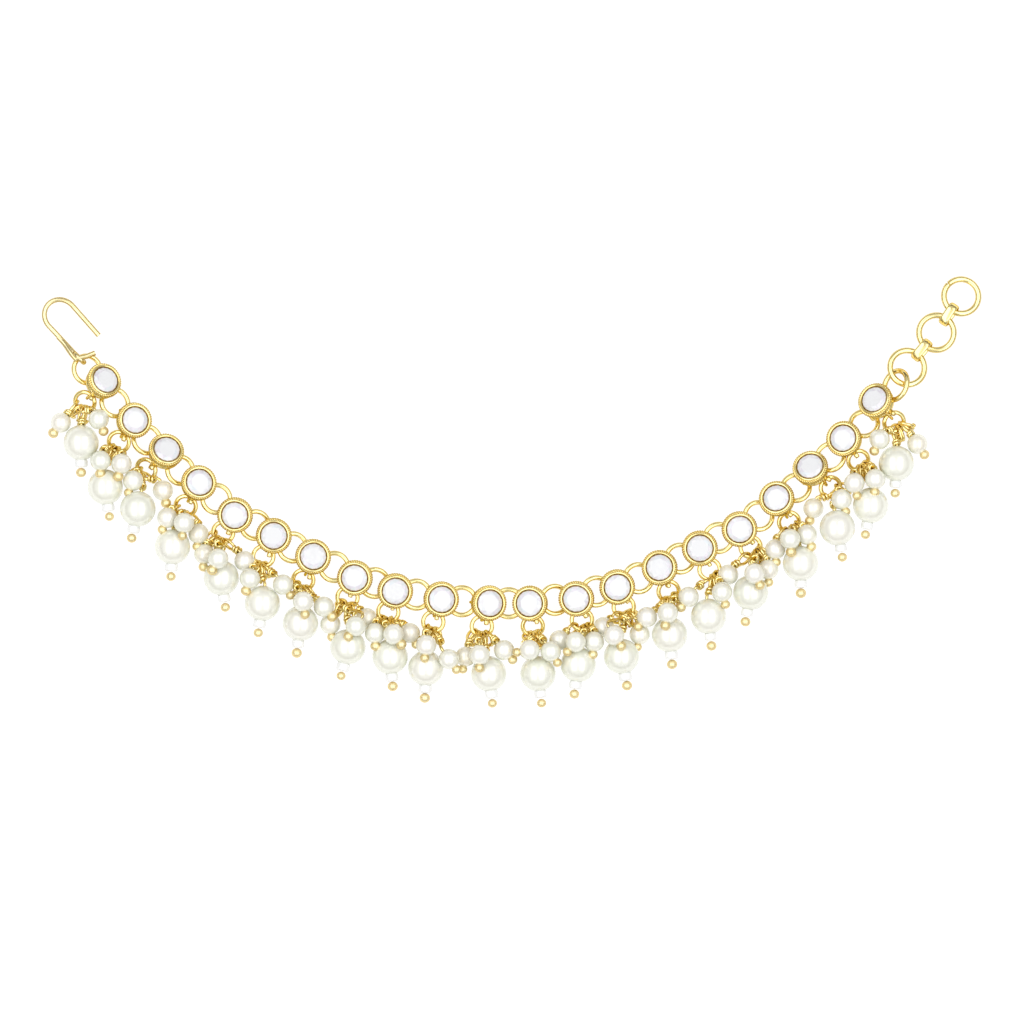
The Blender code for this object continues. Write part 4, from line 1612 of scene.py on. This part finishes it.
# %% Tie the pieces to the imported model
setting_nodes = [f"setting_{k:02d}" for k in range(1, 22)]
drop_nodes = [f"drop_{k:02d}" for k in range(1, 22)]
TIES = (
    (cups, "gold", setting_nodes),
    (ropes, "gold", setting_nodes),
    (stones, "stone", setting_nodes),
    (rings, "gold", setting_nodes + ["hook_ring"]),
    (staples, "gold", setting_nodes),
    (lugs, "gold", setting_nodes),
    (drop_rings, "gold", drop_nodes),
    (big, "pearl", drop_nodes),
    (little, "pearl", drop_nodes),
    (spacers, "spacer", drop_nodes),
    (balls, "gold", drop_nodes),
    (pins, "gold", drop_nodes),
    (hook, "pale_gold", ["hook"]),
    (end_rings, "gold", ["end_ring_1", "end_ring_2", "end_ring_3"]),
    (end_links, "gold", ["end_link_1", "end_link_2"]),
)
for piece, slot, nodes in TIES:
    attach(piece, "root")
    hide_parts(*nodes)
print("pieces tied", len(TIES))

# %% [markdown]
# ## The table
#
# The chain lies on a plain white sheet that is lit so brightly that it shows no edge. A pale sheet
# that gives off a little light of its own does the same, and keeps the undersides of the pearls
# light.

# %% Table
TABLE_HALF = 1.5
FLOOR, table_tree, table_shader, table_place = new_finish("pale_table")
table_cloud = noise(table_tree, table_place, 6.0, 2.0)
feed(table_tree, table_shader, {
    "Base Color": blend(table_tree, table_cloud, (0.27, 0.27, 0.27, 1), (0.29, 0.29, 0.29, 1)),
}, {"Roughness": 0.9, "Specular IOR Level": 0.0,
    "Emission Color": (1, 1, 1, 1), "Emission Strength": 0.86})
table_mesh = bpy.data.meshes.new("table")
table_mesh.from_pydata(
    [(-TABLE_HALF, -TABLE_HALF, 0), (TABLE_HALF, -TABLE_HALF, 0),
     (TABLE_HALF, TABLE_HALF, 0), (-TABLE_HALF, TABLE_HALF, 0)], [], [(0, 1, 2, 3)])
table_mesh.materials.append(FLOOR)
table = put_in_scene("table", table_mesh)
table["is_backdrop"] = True
print("table", TABLE_HALF * 2, "m")

# %% [markdown]
# ## Light
#
# Two wide soft lights hang left and right of the camera, with a narrow gap between them. The gap
# is the thin darker line down the middle of every pearl. The room round them is pale above and
# dark near the table's level, and this dark band is what draws the edges of the gold.

# %% Light
def soft_light(name, place, size, power):
    lamp = bpy.data.lights.new(name, "AREA")
    lamp.shape = "RECTANGLE"
    lamp.size, lamp.size_y = size
    lamp.energy = power
    thing = put_in_scene(name, lamp)
    thing.location = place
    thing.rotation_euler = (-Vector(place)).to_track_quat("-Z", "Y").to_euler()


LIGHT_POWER = 5.0
LIGHT_SIZE = (1.7, 0.6)
LIGHT_ASIDE = 0.46
LIGHT_HEIGHT = 0.9
for name, aside in (("left_light", -LIGHT_ASIDE), ("right_light", LIGHT_ASIDE)):
    soft_light(name, (aside, 0.0, LIGHT_HEIGHT), LIGHT_SIZE, LIGHT_POWER)
ROOM_TONES = (
    (0.0, (0.10, 0.08, 0.05, 1)),
    (0.26, (0.12, 0.10, 0.07, 1)),
    (0.45, (0.42, 0.42, 0.42, 1)),
    (0.92, (0.40, 0.40, 0.41, 1)),
    (0.97, (0.72, 0.72, 0.72, 1)),
    (1.0, (0.72, 0.72, 0.72, 1)),
)
ROOM_STRENGTH = 1.5
world = bpy.data.worlds.new("pale_room")
world.use_nodes = True
room = Tree(world.node_tree)
sky = room.node("ShaderNodeTexCoord").outputs["Generated"]
height = Number(room, room.node("ShaderNodeSeparateXYZ", sockets={0: sky}).outputs["Z"])
room_colour = room.node("ShaderNodeValToRGB", {"stops": ROOM_TONES}, {"Fac": height.clamped()})
background = world.node_tree.nodes["Background"]
room.tree.links.new(room_colour.outputs[0], background.inputs["Color"])
background.inputs["Strength"].default_value = ROOM_STRENGTH
bpy.context.scene.world = world
bpy.context.scene.view_settings.view_transform = "Standard"

# %% [markdown]
# ## Camera
#
# The picture was taken from straight above with a long lens, so the view is almost parallel. The
# camera stands two metres up, and its lens is worked out from the width that it has to show.

# %% Camera
FRAME_WIDTH = 0.155
CAMERA_HEIGHT = 2.0
SENSOR = 36
LOOK_AT = Vector((0, -2.8, 0)) * MM + Vector((SHIFT.x, SHIFT.y, 0))
camera_data = bpy.data.cameras.new("camera")
camera_data.sensor_width = SENSOR
camera_data.lens = SENSOR * CAMERA_HEIGHT / FRAME_WIDTH
camera_data.clip_start = 0.05
camera = put_in_scene("camera", camera_data)
camera.location = LOOK_AT + UP * CAMERA_HEIGHT
bpy.context.scene.camera = camera
print("lens", round(camera_data.lens, 1), "mm")

# %% [markdown]
# ## Size at the end
#
# The dressed model is meant to keep the size of the imported one, so the growth of its box over
# the imported box is printed.

seen_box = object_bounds()
growth = [[round((b - a) / MM, 2) for a, b in zip(cad, seen)] for cad, seen in zip(cad_box, seen_box)]
print("growth in mm", growth)
